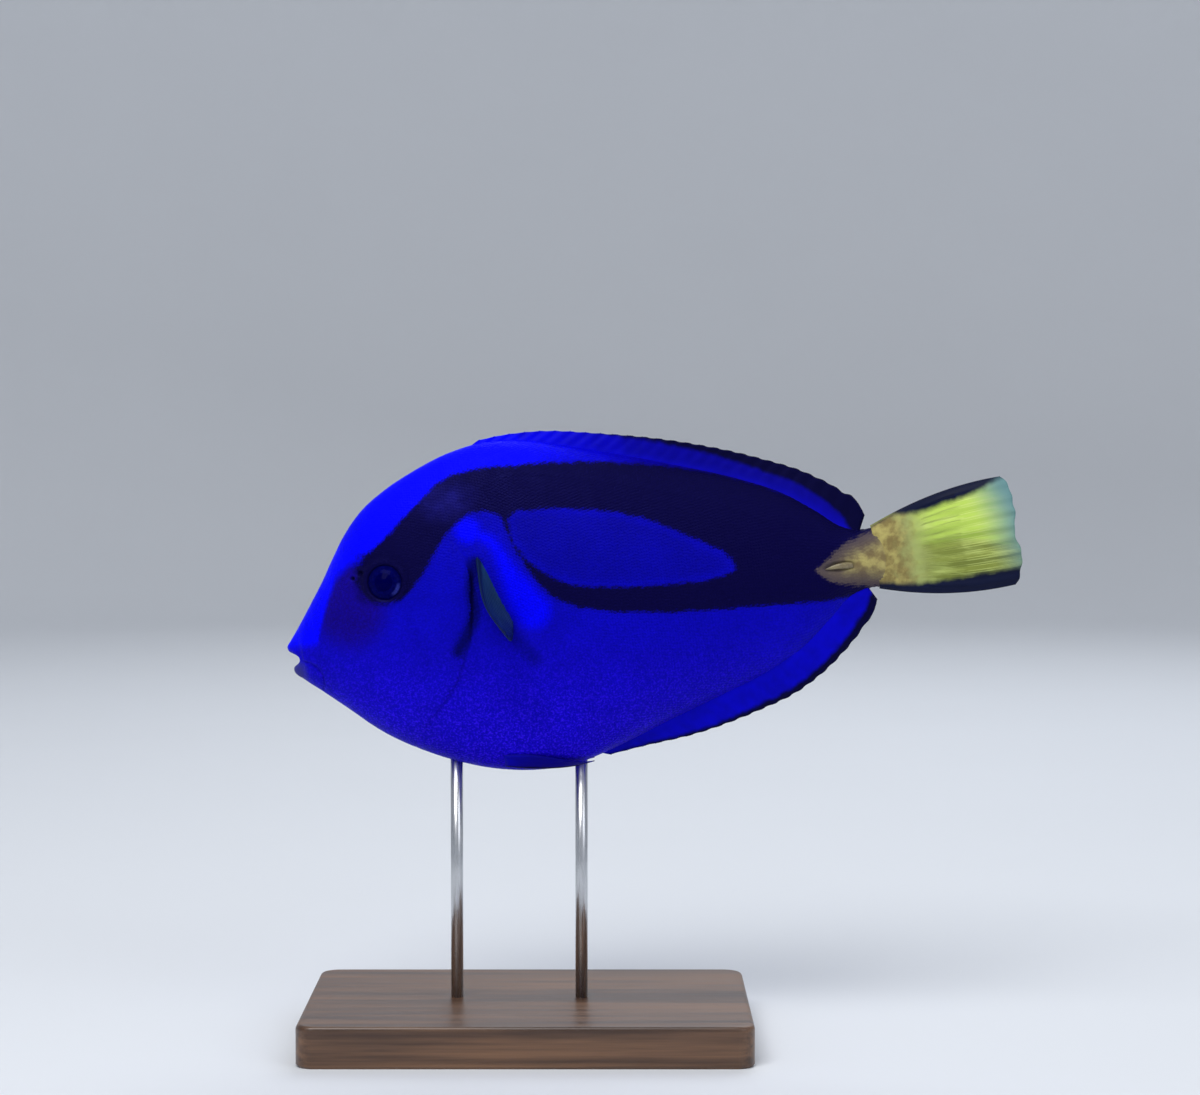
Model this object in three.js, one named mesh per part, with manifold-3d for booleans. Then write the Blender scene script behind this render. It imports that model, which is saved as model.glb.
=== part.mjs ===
// A regal blue tang as a still, life-size museum model on a plain display stand.
// Lengths are in millimetres. In the fish's own frame x runs from the upper lip to the tail's base,
// y to the fish's right and z up; the fish group then tips it nose down over the stand.
import * as THREE from "three";
import { mergeVertices } from "three/addons/utils/BufferGeometryUtils.js";
import Module from "manifold-3d";

const wasm = await Module();
wasm.setup();

const { clamp, degToRad, smoothstep, lerp: mix } = THREE.MathUtils;
const SIDES = { left: -1, right: 1 };

// Driving dimensions
const STANDARD_LENGTH = 143;
const STALK_END = STANDARD_LENGTH + 6.5;
const NOSE_DOWN = degToRad(8.8);
const SNOUT = new THREE.Vector3(-89.66, 0, 96);
const GAP = 0.3;

const EYE = { x: 26.6, z: 12.6, radius: 4.7, depth: 3.2, sunk: 1.8 };
const NOSTRILS = [
  { x: 19.0, z: 14.6, radius: 0.75 },
  { x: 21.0, z: 15.6, radius: 0.95 },
];
const GILL = { swell: 0.55, reach: 15, low: [-27, -14], high: [13, 22] };

// The fins along the back and the belly: lean is how far the first and last rays' tips lie behind
// their roots, sweep is what the middle rays add, and sway is how far the edge bends to the side.
const DORSAL = { front: 51, back: 141.5, sink: -1.2, rays: 28, lean: [3, 2.4], sweep: 3.4, sway: 0.5 };
const ANAL = { front: 71, back: 141.5, sink: 1.2, rays: 21, lean: [3, 2.4], sweep: 3.0, sway: 0.5 };
const MEDIAN_PLATE = { root: 1.6, web: 0.7, ray: 1.25 };
const MEDIAN_ROWS = [0, 0.3, 0.55, 0.8, 1];

// The tail fin: bend is how far its middle stands to the left, and ridge is the crease between its
// upper and lower halves.
const CAUDAL = {
  rays: 17,
  root: 146,
  reach: 180.2,
  halfRoot: 7.4,
  halfTip: 13.35,
  tipRise: 1.45,
  bulge: 1.7,
  notch: { depth: 0.9, width: 0.3 },
  corner: 2.2,
  bend: 3.0,
  ridge: { depth: 0.9, from: 0.6, to: 0.03, width: 0.2, starts: [0.1, 0.5] },
  flesh: { thick: 2.3, until: 0.3 },
  rows: [0, 0.08, 0.2, 0.36, 0.52, 0.68, 0.84, 1],
};
const CAUDAL_PLATE = { web: 0.6, ray: 1.2 };

// The pectoral fins: base is how far the root runs down and back, turn is each edge's angle below
// level, and bow and tip bend the rays forwards.
const PECTORAL = {
  x: 49.7,
  z: 17.6,
  rays: 14,
  base: { down: 4.0, back: 3.3 },
  length: [27.6, 14.5],
  turn: [49, 88],
  bow: [2.3, 0.1],
  tip: 0.4,
  corner: 1.6,
  sunk: 2.4,
  flesh: { thick: 2.0, until: 0.3 },
  forward: { out: 0.1, down: 0.16 },
  rows: [0, 0.12, 0.3, 0.5, 0.75, 1],
};
const PECTORAL_PLATE = { web: 0.55, ray: 1.05 };

// The pelvic fins: low is the turn from the keel to a fin's lower edge at its root and tip, spread is
// its least and most height in the same turn, and taper narrows it towards its tip.
const PELVIC = {
  x: 48.5,
  length: 21,
  slant: 3.5,
  rays: 4,
  rise: 0.7,
  low: [0.3, 0.2],
  spread: [0.16, 0.3],
  taper: 0.55,
  rows: [0, 0.25, 0.5, 0.75, 1],
};
const PELVIC_PLATE = { web: 0.6, ray: 1.0 };

// At a fin's edge the web is this thick and each ray this share of its thickness at the root.
const WEB_EDGE = 0.5;
const RAY_EDGE = 0.6;

const TAIL_SPINE = { x: 132.4, z: -0.8, length: 6.6, height: 1.6, thick: 1.1, proud: 0.45, turn: 0.11 };

const BASE = { x: -31, halfLength: 54, halfWidth: 34, height: 10, corner: 4, bevel: 1.2 };
const ROD = { radius: 1.5, inBody: 7, inBase: 5.5, stations: { front: 36.5, rear: 66.6 } };

// How finely the curved surfaces are split, and the short step that their directions are read over
const SIDE_POINTS = 32;
const BODY_STEPS = 55;
const PROBE = 0.05;
const HALVINGS = 40;
const MERGE = 1e-4;
const RAY_SIDES = [0.28, 0.72];

// One ring of the body: the points at its top and bottom, half its width, and how far its sides lie
// behind the line between them.
const ring = (topX, topZ, bottomX, bottomZ, half, bow) => [topX, topZ, bottomX, bottomZ, half, bow];
const upright = (x, top, bottom, half) => ring(x, top, x, bottom, half, 0);

const MOUTH_RINGS = [
  ring(7.0, -3.9, 7.0, -4.5, 0.7, 0.0),
  ring(5.4, -3.2, 5.4, -4.7, 1.5, 0.2),
  ring(3.2, -2.4, 3.2, -4.6, 1.9, 0.6),
  ring(1.2, -1.6, 1.6, -4.5, 2.2, 1.5),
  ring(0.2, -0.9, 0.9, -5.0, 2.5, 2.2),
  ring(0.0, 0.2, 0.8, -6.0, 2.8, 2.4),
  ring(0.9, 1.4, 1.4, -7.0, 2.95, 2.0),
  ring(2.2, 3.0, 2.6, -8.0, 3.2, 1.1),
];
const BODY_RINGS = [
  upright(4, 5.3, -9.3, 3.7),
  upright(7, 9.3, -11.9, 4.7),
  upright(10.5, 14.0, -15.1, 5.7),
  upright(14, 19.3, -18.4, 6.7),
  upright(18, 25.0, -22.2, 7.7),
  upright(23, 30.2, -26.1, 8.8),
  upright(29, 34.1, -29.8, 9.8),
  upright(37, 37.8, -33.8, 10.8),
  upright(46, 40.8, -37.0, 11.6),
  upright(55, 42.1, -38.7, 12.1),
  upright(64, 41.2, -38.9, 12.2),
  upright(75, 38.2, -36.4, 11.7),
  upright(88, 34.0, -32.2, 10.4),
  upright(102, 29.1, -28.0, 8.5),
  upright(115, 24.1, -23.8, 6.6),
  upright(125, 19.1, -18.9, 5.0),
  upright(132, 13.9, -13.4, 4.0),
  upright(138, 8.9, -8.6, 3.4),
  upright(143, 7.1, -7.2, 3.0),
  upright(STALK_END, 8.1, -8.0, 1.3),
];
const RINGS = [...MOUTH_RINGS, ...BODY_RINGS];

// Curves seen from the side, as points of x and z
const GILL_LINE = [
  [41.5, 46],
  [42.2, 32],
  [43.6, 21],
  [47.0, 13.5],
  [46.4, 4],
  [43.8, -6],
  [39, -15],
  [32, -22.5],
  [25, -31],
];
const JAW_LINE = [
  [1.2, -3.0],
  [4.5, -3.9],
  [7.2, -5.2],
  [8.6, -8],
  [8.2, -11],
  [6.8, -15.5],
];
const STALK_LINE = [
  [147, 12],
  [144.4, 6.9],
  [140.2, 5.6],
  [136.4, 3.8],
  [132.6, 1.2],
  [130.0, -0.8],
  [132.4, -3.0],
  [136.4, -5.0],
  [142.4, -7.0],
  [146, -12],
];
const DORSAL_EDGE = [
  [51, 42.6],
  [59, 43.2],
  [69, 42.8],
  [83, 40.1],
  [102, 35.2],
  [121, 28.1],
  [132.4, 22.4],
  [139.5, 17.0],
  [143.4, 12.4],
  [143.9, 10.6],
];
const ANAL_EDGE = [
  [71, -38.2],
  [81, -37.3],
  [96, -36.1],
  [111, -32.9],
  [122, -29.5],
  [132.7, -23.0],
  [140, -16.2],
  [143.5, -11.6],
  [143.9, -10.4],
];

// Distance along the rings, which the spline uses as its parameter
const RING_AT = RINGS.reduce((found, r, i) => {
  if (i === 0) return [0];
  const before = RINGS[i - 1];
  const top = Math.hypot(r[0] - before[0], r[1] - before[1]);
  const bottom = Math.hypot(r[2] - before[2], r[3] - before[3]);
  return [...found, found[i - 1] + (top + bottom) / 2];
}, []);

// A smooth curve through values given at rising places
function throughPoints(places, values, place) {
  const last = places.length - 1;
  let i = 0;
  while (i < last - 1 && place > places[i + 1]) i += 1;
  const rise = (k) => (values[k + 1] - values[k]) / (places[k + 1] - places[k]);
  const slope = (k) => {
    if (k === 0) return rise(0);
    if (k === last) return rise(last - 1);
    const before = places[k] - places[k - 1];
    const after = places[k + 1] - places[k];
    return (rise(k - 1) * after + rise(k) * before) / (before + after);
  };
  const width = places[i + 1] - places[i];
  const t = (place - places[i]) / width;
  const t2 = t * t;
  const t3 = t2 * t;
  return (
    values[i] * (2 * t3 - 3 * t2 + 1) +
    slope(i) * width * (t3 - 2 * t2 + t) +
    values[i + 1] * (3 * t2 - 2 * t3) +
    slope(i + 1) * width * (t3 - t2)
  );
}

const RING_COLUMNS = RINGS[0].map((_, column) => RINGS.map((r) => r[column]));
const ringAt = (s) => RING_COLUMNS.map((values) => throughPoints(RING_AT, values, s));

const edgeAt = (edge, x) => throughPoints(edge.map((p) => p[0]), edge.map((p) => p[1]), x);

const BODY_X = BODY_RINGS.map((r) => r[0]);
const backAt = (x) => throughPoints(BODY_X, BODY_RINGS.map((r) => r[1]), x);
const bellyAt = (x) => throughPoints(BODY_X, BODY_RINGS.map((r) => r[3]), x);

// How the section narrows towards its top and bottom: under 1 is full, over 1 is lean, and it grows
// leaner along the rear of the body.
const LEAN = { start: 60, end: 115, upper: [1.06, 1.2], lower: [0.88, 1.22] };

function leanness(x, upper) {
  const rear = smoothstep(x, LEAN.start, LEAN.end);
  return mix(...(upper ? LEAN.upper : LEAN.lower), rear);
}

// The gill cover swells towards its free rear edge.
function gillSwell(x, z) {
  const edge = throughPoints(
    GILL_LINE.map((p) => -p[1]),
    GILL_LINE.map((p) => p[0]),
    -z,
  );
  const along = smoothstep(x, edge - GILL.reach, edge - 1);
  const up = smoothstep(z, ...GILL.low) * (1 - smoothstep(z, ...GILL.high));
  return GILL.swell * along * up;
}

function bodyPoint(s, angle, swollen = false) {
  const [topX, topZ, bottomX, bottomZ, half, bow] = ringAt(s);
  const side = Math.cos(angle);
  const up = Math.sin(angle);
  const x = (topX + bottomX) / 2 + ((topX - bottomX) / 2) * up + bow * side * side;
  const z = (topZ + bottomZ) / 2 + ((topZ - bottomZ) / 2) * up;
  const narrowed = Math.sign(side) * Math.abs(side) ** leanness(x, up > 0);
  const y = (half + (swollen ? gillSwell(x, z) : 0)) * narrowed;
  return new THREE.Vector3(x, y, z);
}

const BODY_START = RING_AT[MOUTH_RINGS.length];
const BODY_END = RING_AT[RINGS.length - 1];

// The ring whose upright section stands at x
function ringPlace(x) {
  let low = BODY_START;
  let high = BODY_END;
  for (let i = 0; i < HALVINGS; i += 1) {
    const middle = (low + high) / 2;
    if (ringAt(middle)[0] < x) low = middle;
    else high = middle;
  }
  return (low + high) / 2;
}

// The point of the fish's flank at x and z, and the direction out of the skin there
function flank(x, z, side) {
  const s = ringPlace(x);
  const [, topZ, , bottomZ] = ringAt(s);
  const up = clamp((z - (topZ + bottomZ) / 2) / ((topZ - bottomZ) / 2), -1, 1);
  const angle = side < 0 ? Math.PI - Math.asin(up) : Math.asin(up);
  const point = bodyPoint(s, angle);
  const along = bodyPoint(s + PROBE, angle).sub(point);
  const around = bodyPoint(s, angle + PROBE).sub(point);
  return { point, normal: around.cross(along).normalize() };
}

// Geometry and solids
function geometryOf(points, triangles) {
  const geometry = new THREE.BufferGeometry();
  geometry.setAttribute("position", new THREE.Float32BufferAttribute(points.flatMap((p) => p.toArray()), 3));
  geometry.setIndex(triangles.flat());
  return geometry;
}

function solid(geometry) {
  const bare = geometry.clone();
  bare.deleteAttribute("normal");
  bare.deleteAttribute("uv");
  const merged = mergeVertices(bare, MERGE);
  return new wasm.Manifold(
    new wasm.Mesh({
      numProp: 3,
      vertProperties: new Float32Array(merged.attributes.position.array),
      triVerts: new Uint32Array(merged.index.array),
    }),
  );
}

function geometryFrom(manifold) {
  const made = manifold.getMesh();
  const places = new Float32Array(made.numVert * 3);
  for (let i = 0; i < made.numVert; i += 1) {
    places.set(made.vertProperties.subarray(i * made.numProp, i * made.numProp + 3), i * 3);
  }
  const geometry = new THREE.BufferGeometry();
  geometry.setAttribute("position", new THREE.BufferAttribute(places, 3));
  geometry.setIndex(new THREE.BufferAttribute(new Uint32Array(made.triVerts), 1));
  return geometry;
}

// A closed geometry as a solid, with its faces turned if they point inwards
function facingOut(geometry) {
  const made = solid(geometry);
  if (made.volume() > 0) return made;
  const index = geometry.index.array;
  for (let i = 0; i < index.length; i += 3) [index[i + 1], index[i + 2]] = [index[i + 2], index[i + 1]];
  return solid(geometry);
}

// A geometry class's shape as a solid
function solidOf(geometry) {
  geometry.deleteAttribute("normal");
  geometry.deleteAttribute("uv");
  return facingOut(mergeVertices(geometry, MERGE));
}

// Turns a geometry made along z to a direction and moves it to a point.
function aim(geometry, direction, point) {
  geometry.applyQuaternion(new THREE.Quaternion().setFromUnitVectors(new THREE.Vector3(0, 0, 1), direction));
  return geometry.translate(point.x, point.y, point.z);
}

const bySize = (manifold) => manifold.decompose().sort((a, b) => b.volume() - a.volume());
const largest = (manifold) => bySize(manifold)[0];

// The whole body from inside the mouth to the tail's base, grown outwards by so much
function bodySolid(grown, swollen) {
  const places = MOUTH_RINGS.map((_, i) => RING_AT[i]);
  for (let i = 0; i <= BODY_STEPS; i += 1) places.push(mix(BODY_START, BODY_END, i / BODY_STEPS));
  const points = places.flatMap((s) =>
    Array.from({ length: SIDE_POINTS }, (_, k) => bodyPoint(s, (2 * Math.PI * k) / SIDE_POINTS, swollen)),
  );
  const triangles = [];
  const at = (i, k) => i * SIDE_POINTS + (k % SIDE_POINTS);
  for (let i = 0; i < places.length - 1; i += 1) {
    for (let k = 0; k < SIDE_POINTS; k += 1) {
      triangles.push([at(i, k), at(i + 1, k), at(i + 1, k + 1)], [at(i, k), at(i + 1, k + 1), at(i, k + 1)]);
    }
  }
  const [throatX, throatTop, , throatBottom] = MOUTH_RINGS[0];
  points.push(new THREE.Vector3(throatX + GAP, 0, (throatTop + throatBottom) / 2));
  points.push(new THREE.Vector3(STALK_END, 0, 0));
  const mouthEnd = points.length - 2;
  const stalkEnd = points.length - 1;
  for (let k = 0; k < SIDE_POINTS; k += 1) {
    triangles.push([mouthEnd, at(0, k), at(0, k + 1)]);
    triangles.push([stalkEnd, at(places.length - 1, k + 1), at(places.length - 1, k)]);
  }
  const geometry = geometryOf(points, triangles);
  if (grown) {
    geometry.computeVertexNormals();
    const { position, normal } = geometry.attributes;
    const outward = solid(geometry).volume() > 0 ? 1 : -1;
    for (let i = 0; i < position.count; i += 1) {
      const point = new THREE.Vector3().fromBufferAttribute(position, i);
      point.addScaledVector(new THREE.Vector3().fromBufferAttribute(normal, i), grown * outward);
      position.setXYZ(i, ...point.toArray());
    }
  }
  return facingOut(geometry);
}

// A thin wall across the fish along a line seen from the side
function wallAlong(line, wide = 80) {
  const seen = line.map(([x, z]) => new THREE.Vector3(x, z, 0));
  const curve = new THREE.CatmullRomCurve3(seen, false, "centripetal");
  const points = curve.getPoints(line.length * 3);
  const offset = (side) =>
    points.map((p, i) => {
      const before = points[Math.max(0, i - 1)];
      const after = points[Math.min(points.length - 1, i + 1)];
      const along = after.clone().sub(before).normalize();
      return new THREE.Vector2(p.x - along.y * side, p.y + along.x * side);
    });
  const outline = new THREE.Shape([...offset(GAP / 2), ...offset(-GAP / 2).reverse()]);
  const geometry = new THREE.ExtrudeGeometry(outline, { depth: wide, bevelEnabled: false });
  return solidOf(geometry.translate(0, 0, -wide / 2).rotateX(Math.PI / 2));
}

// A ball squashed along a direction, centred at a point
function lens(point, direction, radius, depth, around = 20, rings = 12) {
  const geometry = new THREE.SphereGeometry(1, around, rings).rotateX(Math.PI / 2);
  return solidOf(aim(geometry.scale(radius, radius, depth), direction, point));
}

// A cylinder between two points
function bar(from, to, radius, around = 16) {
  const axis = to.clone().sub(from);
  const geometry = new THREE.CylinderGeometry(radius, radius, axis.length(), around).rotateX(Math.PI / 2);
  return solidOf(aim(geometry, axis.normalize(), from.clone().add(to).multiplyScalar(0.5)));
}

// Where each column of a fin lies, and whether a ray stands there
function finColumns(rays) {
  const columns = [];
  for (let i = 0; i < rays; i += 1) {
    columns.push({ u: i / (rays - 1), ray: 1 });
    if (i < rays - 1) RAY_SIDES.forEach((share) => columns.push({ u: (i + share) / (rays - 1), ray: 0 }));
  }
  return columns;
}

// A fin as one closed plate. place(u, v, ray) gives the middle of the plate and the direction through
// it, thick(ray, v, u) its thickness, and both faces are split into triangles alike.
function finSolid(rays, rows, place, thick) {
  const columns = finColumns(rays);
  const points = [];
  [1, -1].forEach((face) => {
    columns.forEach(({ u, ray }) => {
      rows.forEach((v) => {
        const { point, normal } = place(u, v, ray);
        points.push(point.clone().addScaledVector(normal, (face * thick(ray, v, u)) / 2));
      });
    });
  });
  const half = columns.length * rows.length;
  const at = (i, j) => i * rows.length + j;
  const triangles = [];
  for (let i = 0; i < columns.length - 1; i += 1) {
    for (let j = 0; j < rows.length - 1; j += 1) {
      const [a, b, c, d] = [at(i, j), at(i + 1, j), at(i + 1, j + 1), at(i, j + 1)];
      triangles.push([a, b, c], [a, c, d], [half + a, half + c, half + b], [half + a, half + d, half + c]);
    }
  }
  const rim = [];
  for (let i = 0; i < columns.length - 1; i += 1) rim.push(at(i, 0));
  for (let j = 0; j < rows.length - 1; j += 1) rim.push(at(columns.length - 1, j));
  for (let i = columns.length - 1; i > 0; i -= 1) rim.push(at(i, rows.length - 1));
  for (let j = rows.length - 1; j > 0; j -= 1) rim.push(at(0, j));
  rim.forEach((a, i) => {
    const b = rim[(i + 1) % rim.length];
    triangles.push([a, half + a, b], [b, half + a, half + b]);
  });
  return facingOut(geometryOf(points, triangles));
}

const SIDEWAYS = new THREE.Vector3(0, 1, 0);
const SWAYS = 3;
const bell = (value, width) => Math.exp(-((value / width) ** 2));

// Thickness of a fin: thinner at its edge, thicker where a ray runs
const webbed = (plate) => (ray, v) =>
  ray ? mix(plate.ray, plate.ray * RAY_EDGE, v) : mix(plate.web, WEB_EDGE, v);

// How much of a fin's fleshy root is left at v
const fleshAt = ({ thick, until }, v) => thick * (1 - Math.min(1, v / until));

// A fin along the back or the belly, whose rays lean to the rear
function medianFin(size, bodyEdge, outerEdge) {
  const lastX = outerEdge[outerEdge.length - 1][0];
  return finSolid(
    size.rays,
    MEDIAN_ROWS,
    (u, v, ray) => {
      const baseX = mix(size.front, size.back, u);
      const baseZ = bodyEdge(baseX) + size.sink;
      const lean = mix(...size.lean, u) + size.sweep * Math.sin(Math.PI * u) + GAP * ray * v;
      const tipX = Math.min(baseX + lean, lastX);
      const sway = size.sway * Math.sin(SWAYS * Math.PI * u) * v * v;
      return {
        point: new THREE.Vector3(mix(baseX, tipX, v), sway, mix(baseZ, edgeAt(outerEdge, tipX), v)),
        normal: SIDEWAYS,
      };
    },
    (ray, v) => (v === 0 ? MEDIAN_PLATE.root : webbed(MEDIAN_PLATE)(ray, v)),
  );
}

// The tail fin, half closed, with its rays fanned out a little; w is 1 at its upper edge
function caudalSolid() {
  const { notch, ridge } = CAUDAL;
  return finSolid(
    CAUDAL.rays,
    CAUDAL.rows,
    (u, v, ray) => {
      const w = 1 - 2 * u;
      const tipX = CAUDAL.reach - notch.depth * bell(w, notch.width) - CAUDAL.corner * w ** 6 + GAP * ray;
      const tipZ = CAUDAL.tipRise + CAUDAL.halfTip * w;
      const bulge = CAUDAL.bulge * w * 4 * v * (1 - v);
      const fromRidge = w - mix(ridge.from, ridge.to, v);
      const crease = ridge.depth * bell(fromRidge, ridge.width) * smoothstep(v, ...ridge.starts);
      const fold = -CAUDAL.bend * (1 - w * w) * v ** 1.3 - crease;
      return {
        point: new THREE.Vector3(mix(CAUDAL.root, tipX, v), fold, mix(CAUDAL.halfRoot * w, tipZ, v) + bulge),
        normal: SIDEWAYS,
      };
    },
    (ray, v, u) => webbed(CAUDAL_PLATE)(ray, v) + Math.sqrt(1 - (1 - 2 * u) ** 2) * fleshAt(CAUDAL.flesh, v),
  );
}

// A pectoral fin held out from the flank and down, its rays fanning towards straight down
function pectoralSolid(side) {
  const outward = new THREE.Vector3(PECTORAL.forward.out, side, 0).normalize();
  const down = new THREE.Vector3(PECTORAL.forward.down, 0, -1).normalize();
  const through = outward.clone().cross(down).normalize();
  const rootPoint = flank(PECTORAL.x, PECTORAL.z, side).point;
  return finSolid(
    PECTORAL.rays,
    PECTORAL.rows,
    (u, v, ray) => {
      const turn = degToRad(mix(...PECTORAL.turn, u ** 0.9));
      const length = mix(...PECTORAL.length, u ** 1.2) - PECTORAL.corner * (1 - u) ** 6 + GAP * ray;
      const out = length * v * Math.cos(turn) - PECTORAL.sunk * (1 - v);
      const drop = PECTORAL.base.down * u + length * v * Math.sin(turn);
      const bow = mix(...PECTORAL.bow, u) * Math.sin(Math.PI * v ** 1.4);
      const forward = bow - PECTORAL.base.back * u + PECTORAL.tip * v * v * (1 - u);
      const point = rootPoint.clone().addScaledVector(outward, out).addScaledVector(down, drop);
      return { point: point.addScaledVector(through, forward * side), normal: through };
    },
    (ray, v) => Math.max(webbed(PECTORAL_PLATE)(ray, v), fleshAt(PECTORAL.flesh, v)),
  );
}

// A pelvic fin folded back along the belly, following the skin between two angles from its keel
function pelvicSolid(side) {
  return finSolid(
    PELVIC.rays,
    PELVIC.rows,
    (u, v, ray) => {
      const s = ringPlace(PELVIC.x + (PELVIC.length - PELVIC.slant * u) * v + GAP * ray * v);
      const low = mix(...PELVIC.low, v);
      const high = low + mix(...PELVIC.spread, Math.sin(0.8 * Math.PI * v)) * (1 - PELVIC.taper * v);
      const angle = 1.5 * Math.PI + side * mix(low, high, u);
      const skin = bodyPoint(s, angle);
      const along = bodyPoint(s + PROBE, angle).sub(skin);
      const around = bodyPoint(s, angle + PROBE).sub(skin);
      const normal = along.cross(around).normalize();
      if (normal.z > 0) normal.negate();
      const clear = GAP + PELVIC_PLATE.ray / 2 + PELVIC.rise * v * v;
      return { point: skin.addScaledVector(normal, clear), normal };
    },
    webbed(PELVIC_PLATE),
  );
}

// The folding spine on each side of the tail's stalk, lying in its groove with its point forwards
function tailSpine(side, grown = 0) {
  const { point, normal } = flank(TAIL_SPINE.x + TAIL_SPINE.length / 2, TAIL_SPINE.z, side);
  const middle = point.clone().addScaledVector(normal, TAIL_SPINE.proud - TAIL_SPINE.thick / 2);
  const halfLength = TAIL_SPINE.length / 2 + grown;
  const halfHeight = TAIL_SPINE.height / 2 + grown;
  const outline = new THREE.Shape();
  outline.moveTo(-halfLength, -0.15 * halfHeight);
  outline.quadraticCurveTo(-0.2 * halfLength, -1.15 * halfHeight, halfLength, -0.75 * halfHeight);
  outline.lineTo(halfLength, 0.85 * halfHeight);
  outline.quadraticCurveTo(-0.1 * halfLength, 1.05 * halfHeight, -halfLength, 0.05 * halfHeight);
  const deep = TAIL_SPINE.thick + 2 * grown;
  const geometry = new THREE.ExtrudeGeometry(outline, { depth: deep, bevelEnabled: false, curveSegments: 6 });
  geometry.translate(0, 0, -deep / 2).rotateX(Math.PI / 2).rotateZ(-side * TAIL_SPINE.turn);
  return solidOf(geometry.translate(middle.x, middle.y, middle.z));
}

// The way the fish is held, from its own frame to the stand's
const hold = new THREE.Group();
hold.rotation.y = -NOSE_DOWN;
hold.position.copy(SNOUT);
hold.updateMatrix();
const toStand = (point) => point.clone().applyMatrix4(hold.matrix);
const toFish = (point) => point.clone().applyMatrix4(hold.matrix.clone().invert());

// Each rod runs straight up from the base into the belly.
const rodEnds = Object.fromEntries(
  Object.entries(ROD.stations).map(([name, x]) => {
    const belly = toStand(new THREE.Vector3(x, 0, bellyAt(x)));
    const low = new THREE.Vector3(belly.x, 0, BASE.height - ROD.inBase);
    return [name, { low, high: new THREE.Vector3(belly.x, 0, belly.z + ROD.inBody) }];
  }),
);

const rodHoles = Object.values(rodEnds).map(({ low, high }) =>
  bar(toFish(low), toFish(high.clone().setZ(high.z + GAP)), ROD.radius + GAP),
);

// Pieces of the body, parted by thin cuts
const skinWithGap = bodySolid(GAP, false);
const rodless = (body) => rodHoles.reduce((left, hole) => left.subtract(hole), body);
const gillWall = wallAlong(GILL_LINE);
const stalkWall = wallAlong(STALK_LINE);
const startsBefore = (piece, x) => piece.boundingBox().min[0] < x;

const wholeHead = bySize(bodySolid(0, true).subtract(gillWall)).find((piece) => startsBefore(piece, EYE.x));
const [headAlone, lowerJaw] = bySize(wholeHead.subtract(wallAlong(JAW_LINE, 30)));

const eyes = Object.fromEntries(
  Object.entries(SIDES).map(([name, side]) => {
    const { point, normal } = flank(EYE.x, EYE.z, side);
    return [name, { centre: point.addScaledVector(normal, -EYE.sunk), normal }];
  }),
);
const eyeSockets = Object.values(eyes).map(({ centre, normal }) =>
  lens(centre, normal, EYE.radius + GAP, EYE.depth + GAP),
);
const nostrilPits = Object.values(SIDES).flatMap((side) =>
  NOSTRILS.map(({ x, z, radius }) => {
    const { point, normal } = flank(x, z, side);
    return lens(point, normal, radius, radius, 10, 6);
  }),
);
const head = [...eyeSockets, ...nostrilPits].reduce((left, cut) => left.subtract(cut), headAlone);

const partedBody = bySize(rodless(bodySolid(0, false)).subtract(gillWall).subtract(stalkWall));
const [trunk, plainStalk] = partedBody.filter((piece) => !startsBefore(piece, EYE.x));
const spineGrooves = Object.values(SIDES).map((side) => tailSpine(side, GAP));
const stalk = spineGrooves.reduce((left, groove) => left.subtract(groove), plainStalk);

// Fins grow from the skin, so each is cut by the body with the gap kept.
const offSkin = (fin) => largest(fin.subtract(skinWithGap));
const dorsalFin = offSkin(medianFin(DORSAL, backAt, DORSAL_EDGE));
const analFin = offSkin(medianFin(ANAL, bellyAt, ANAL_EDGE));
const caudalFin = offSkin(caudalSolid());

// The stand's base: a plate with cut corners and a bevelled edge, with a blind hole for each rod
function baseSolid() {
  const { halfLength, halfWidth, height, corner, bevel } = BASE;
  const [x, y] = [halfLength - bevel, halfWidth - bevel];
  const outline = new THREE.Shape(
    [
      [x, corner - y],
      [x, y - corner],
      [x - corner, y],
      [corner - x, y],
      [-x, y - corner],
      [-x, corner - y],
      [corner - x, -y],
      [x - corner, -y],
    ].map(([px, py]) => new THREE.Vector2(px, py)),
  );
  const geometry = new THREE.ExtrudeGeometry(outline, {
    depth: height - 2 * bevel,
    bevelThickness: bevel,
    bevelSize: bevel,
    bevelSegments: 1,
  });
  const plate = solidOf(geometry.translate(BASE.x, 0, bevel));
  return Object.values(rodEnds).reduce((left, { low }) => {
    const bottom = low.clone().setZ(low.z - GAP);
    return left.subtract(bar(bottom, low.clone().setZ(BASE.height + GAP), ROD.radius + GAP));
  }, plate);
}

// Finishes
function finish(color, roughness, metalness = 0) {
  return new THREE.MeshStandardMaterial({ color, roughness, metalness });
}
const royalBlue = finish(0x0a0ac4, 0.42);
const yellow = finish(0xc8cc4e, 0.5);
const finBlue = finish(0x12108c, 0.45);
const pectoralTeal = finish(0x2b6a72, 0.45);
const eyeBlack = finish(0x0b0a18, 0.12);
const bone = finish(0xe8dfae, 0.35);
const walnut = finish(0x4a2f1e, 0.5);
const steel = finish(0xb9bcc0, 0.3, 1);

function node(name, manifold, material) {
  const mesh = new THREE.Mesh(geometryFrom(manifold), material);
  mesh.name = name;
  return mesh;
}

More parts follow.
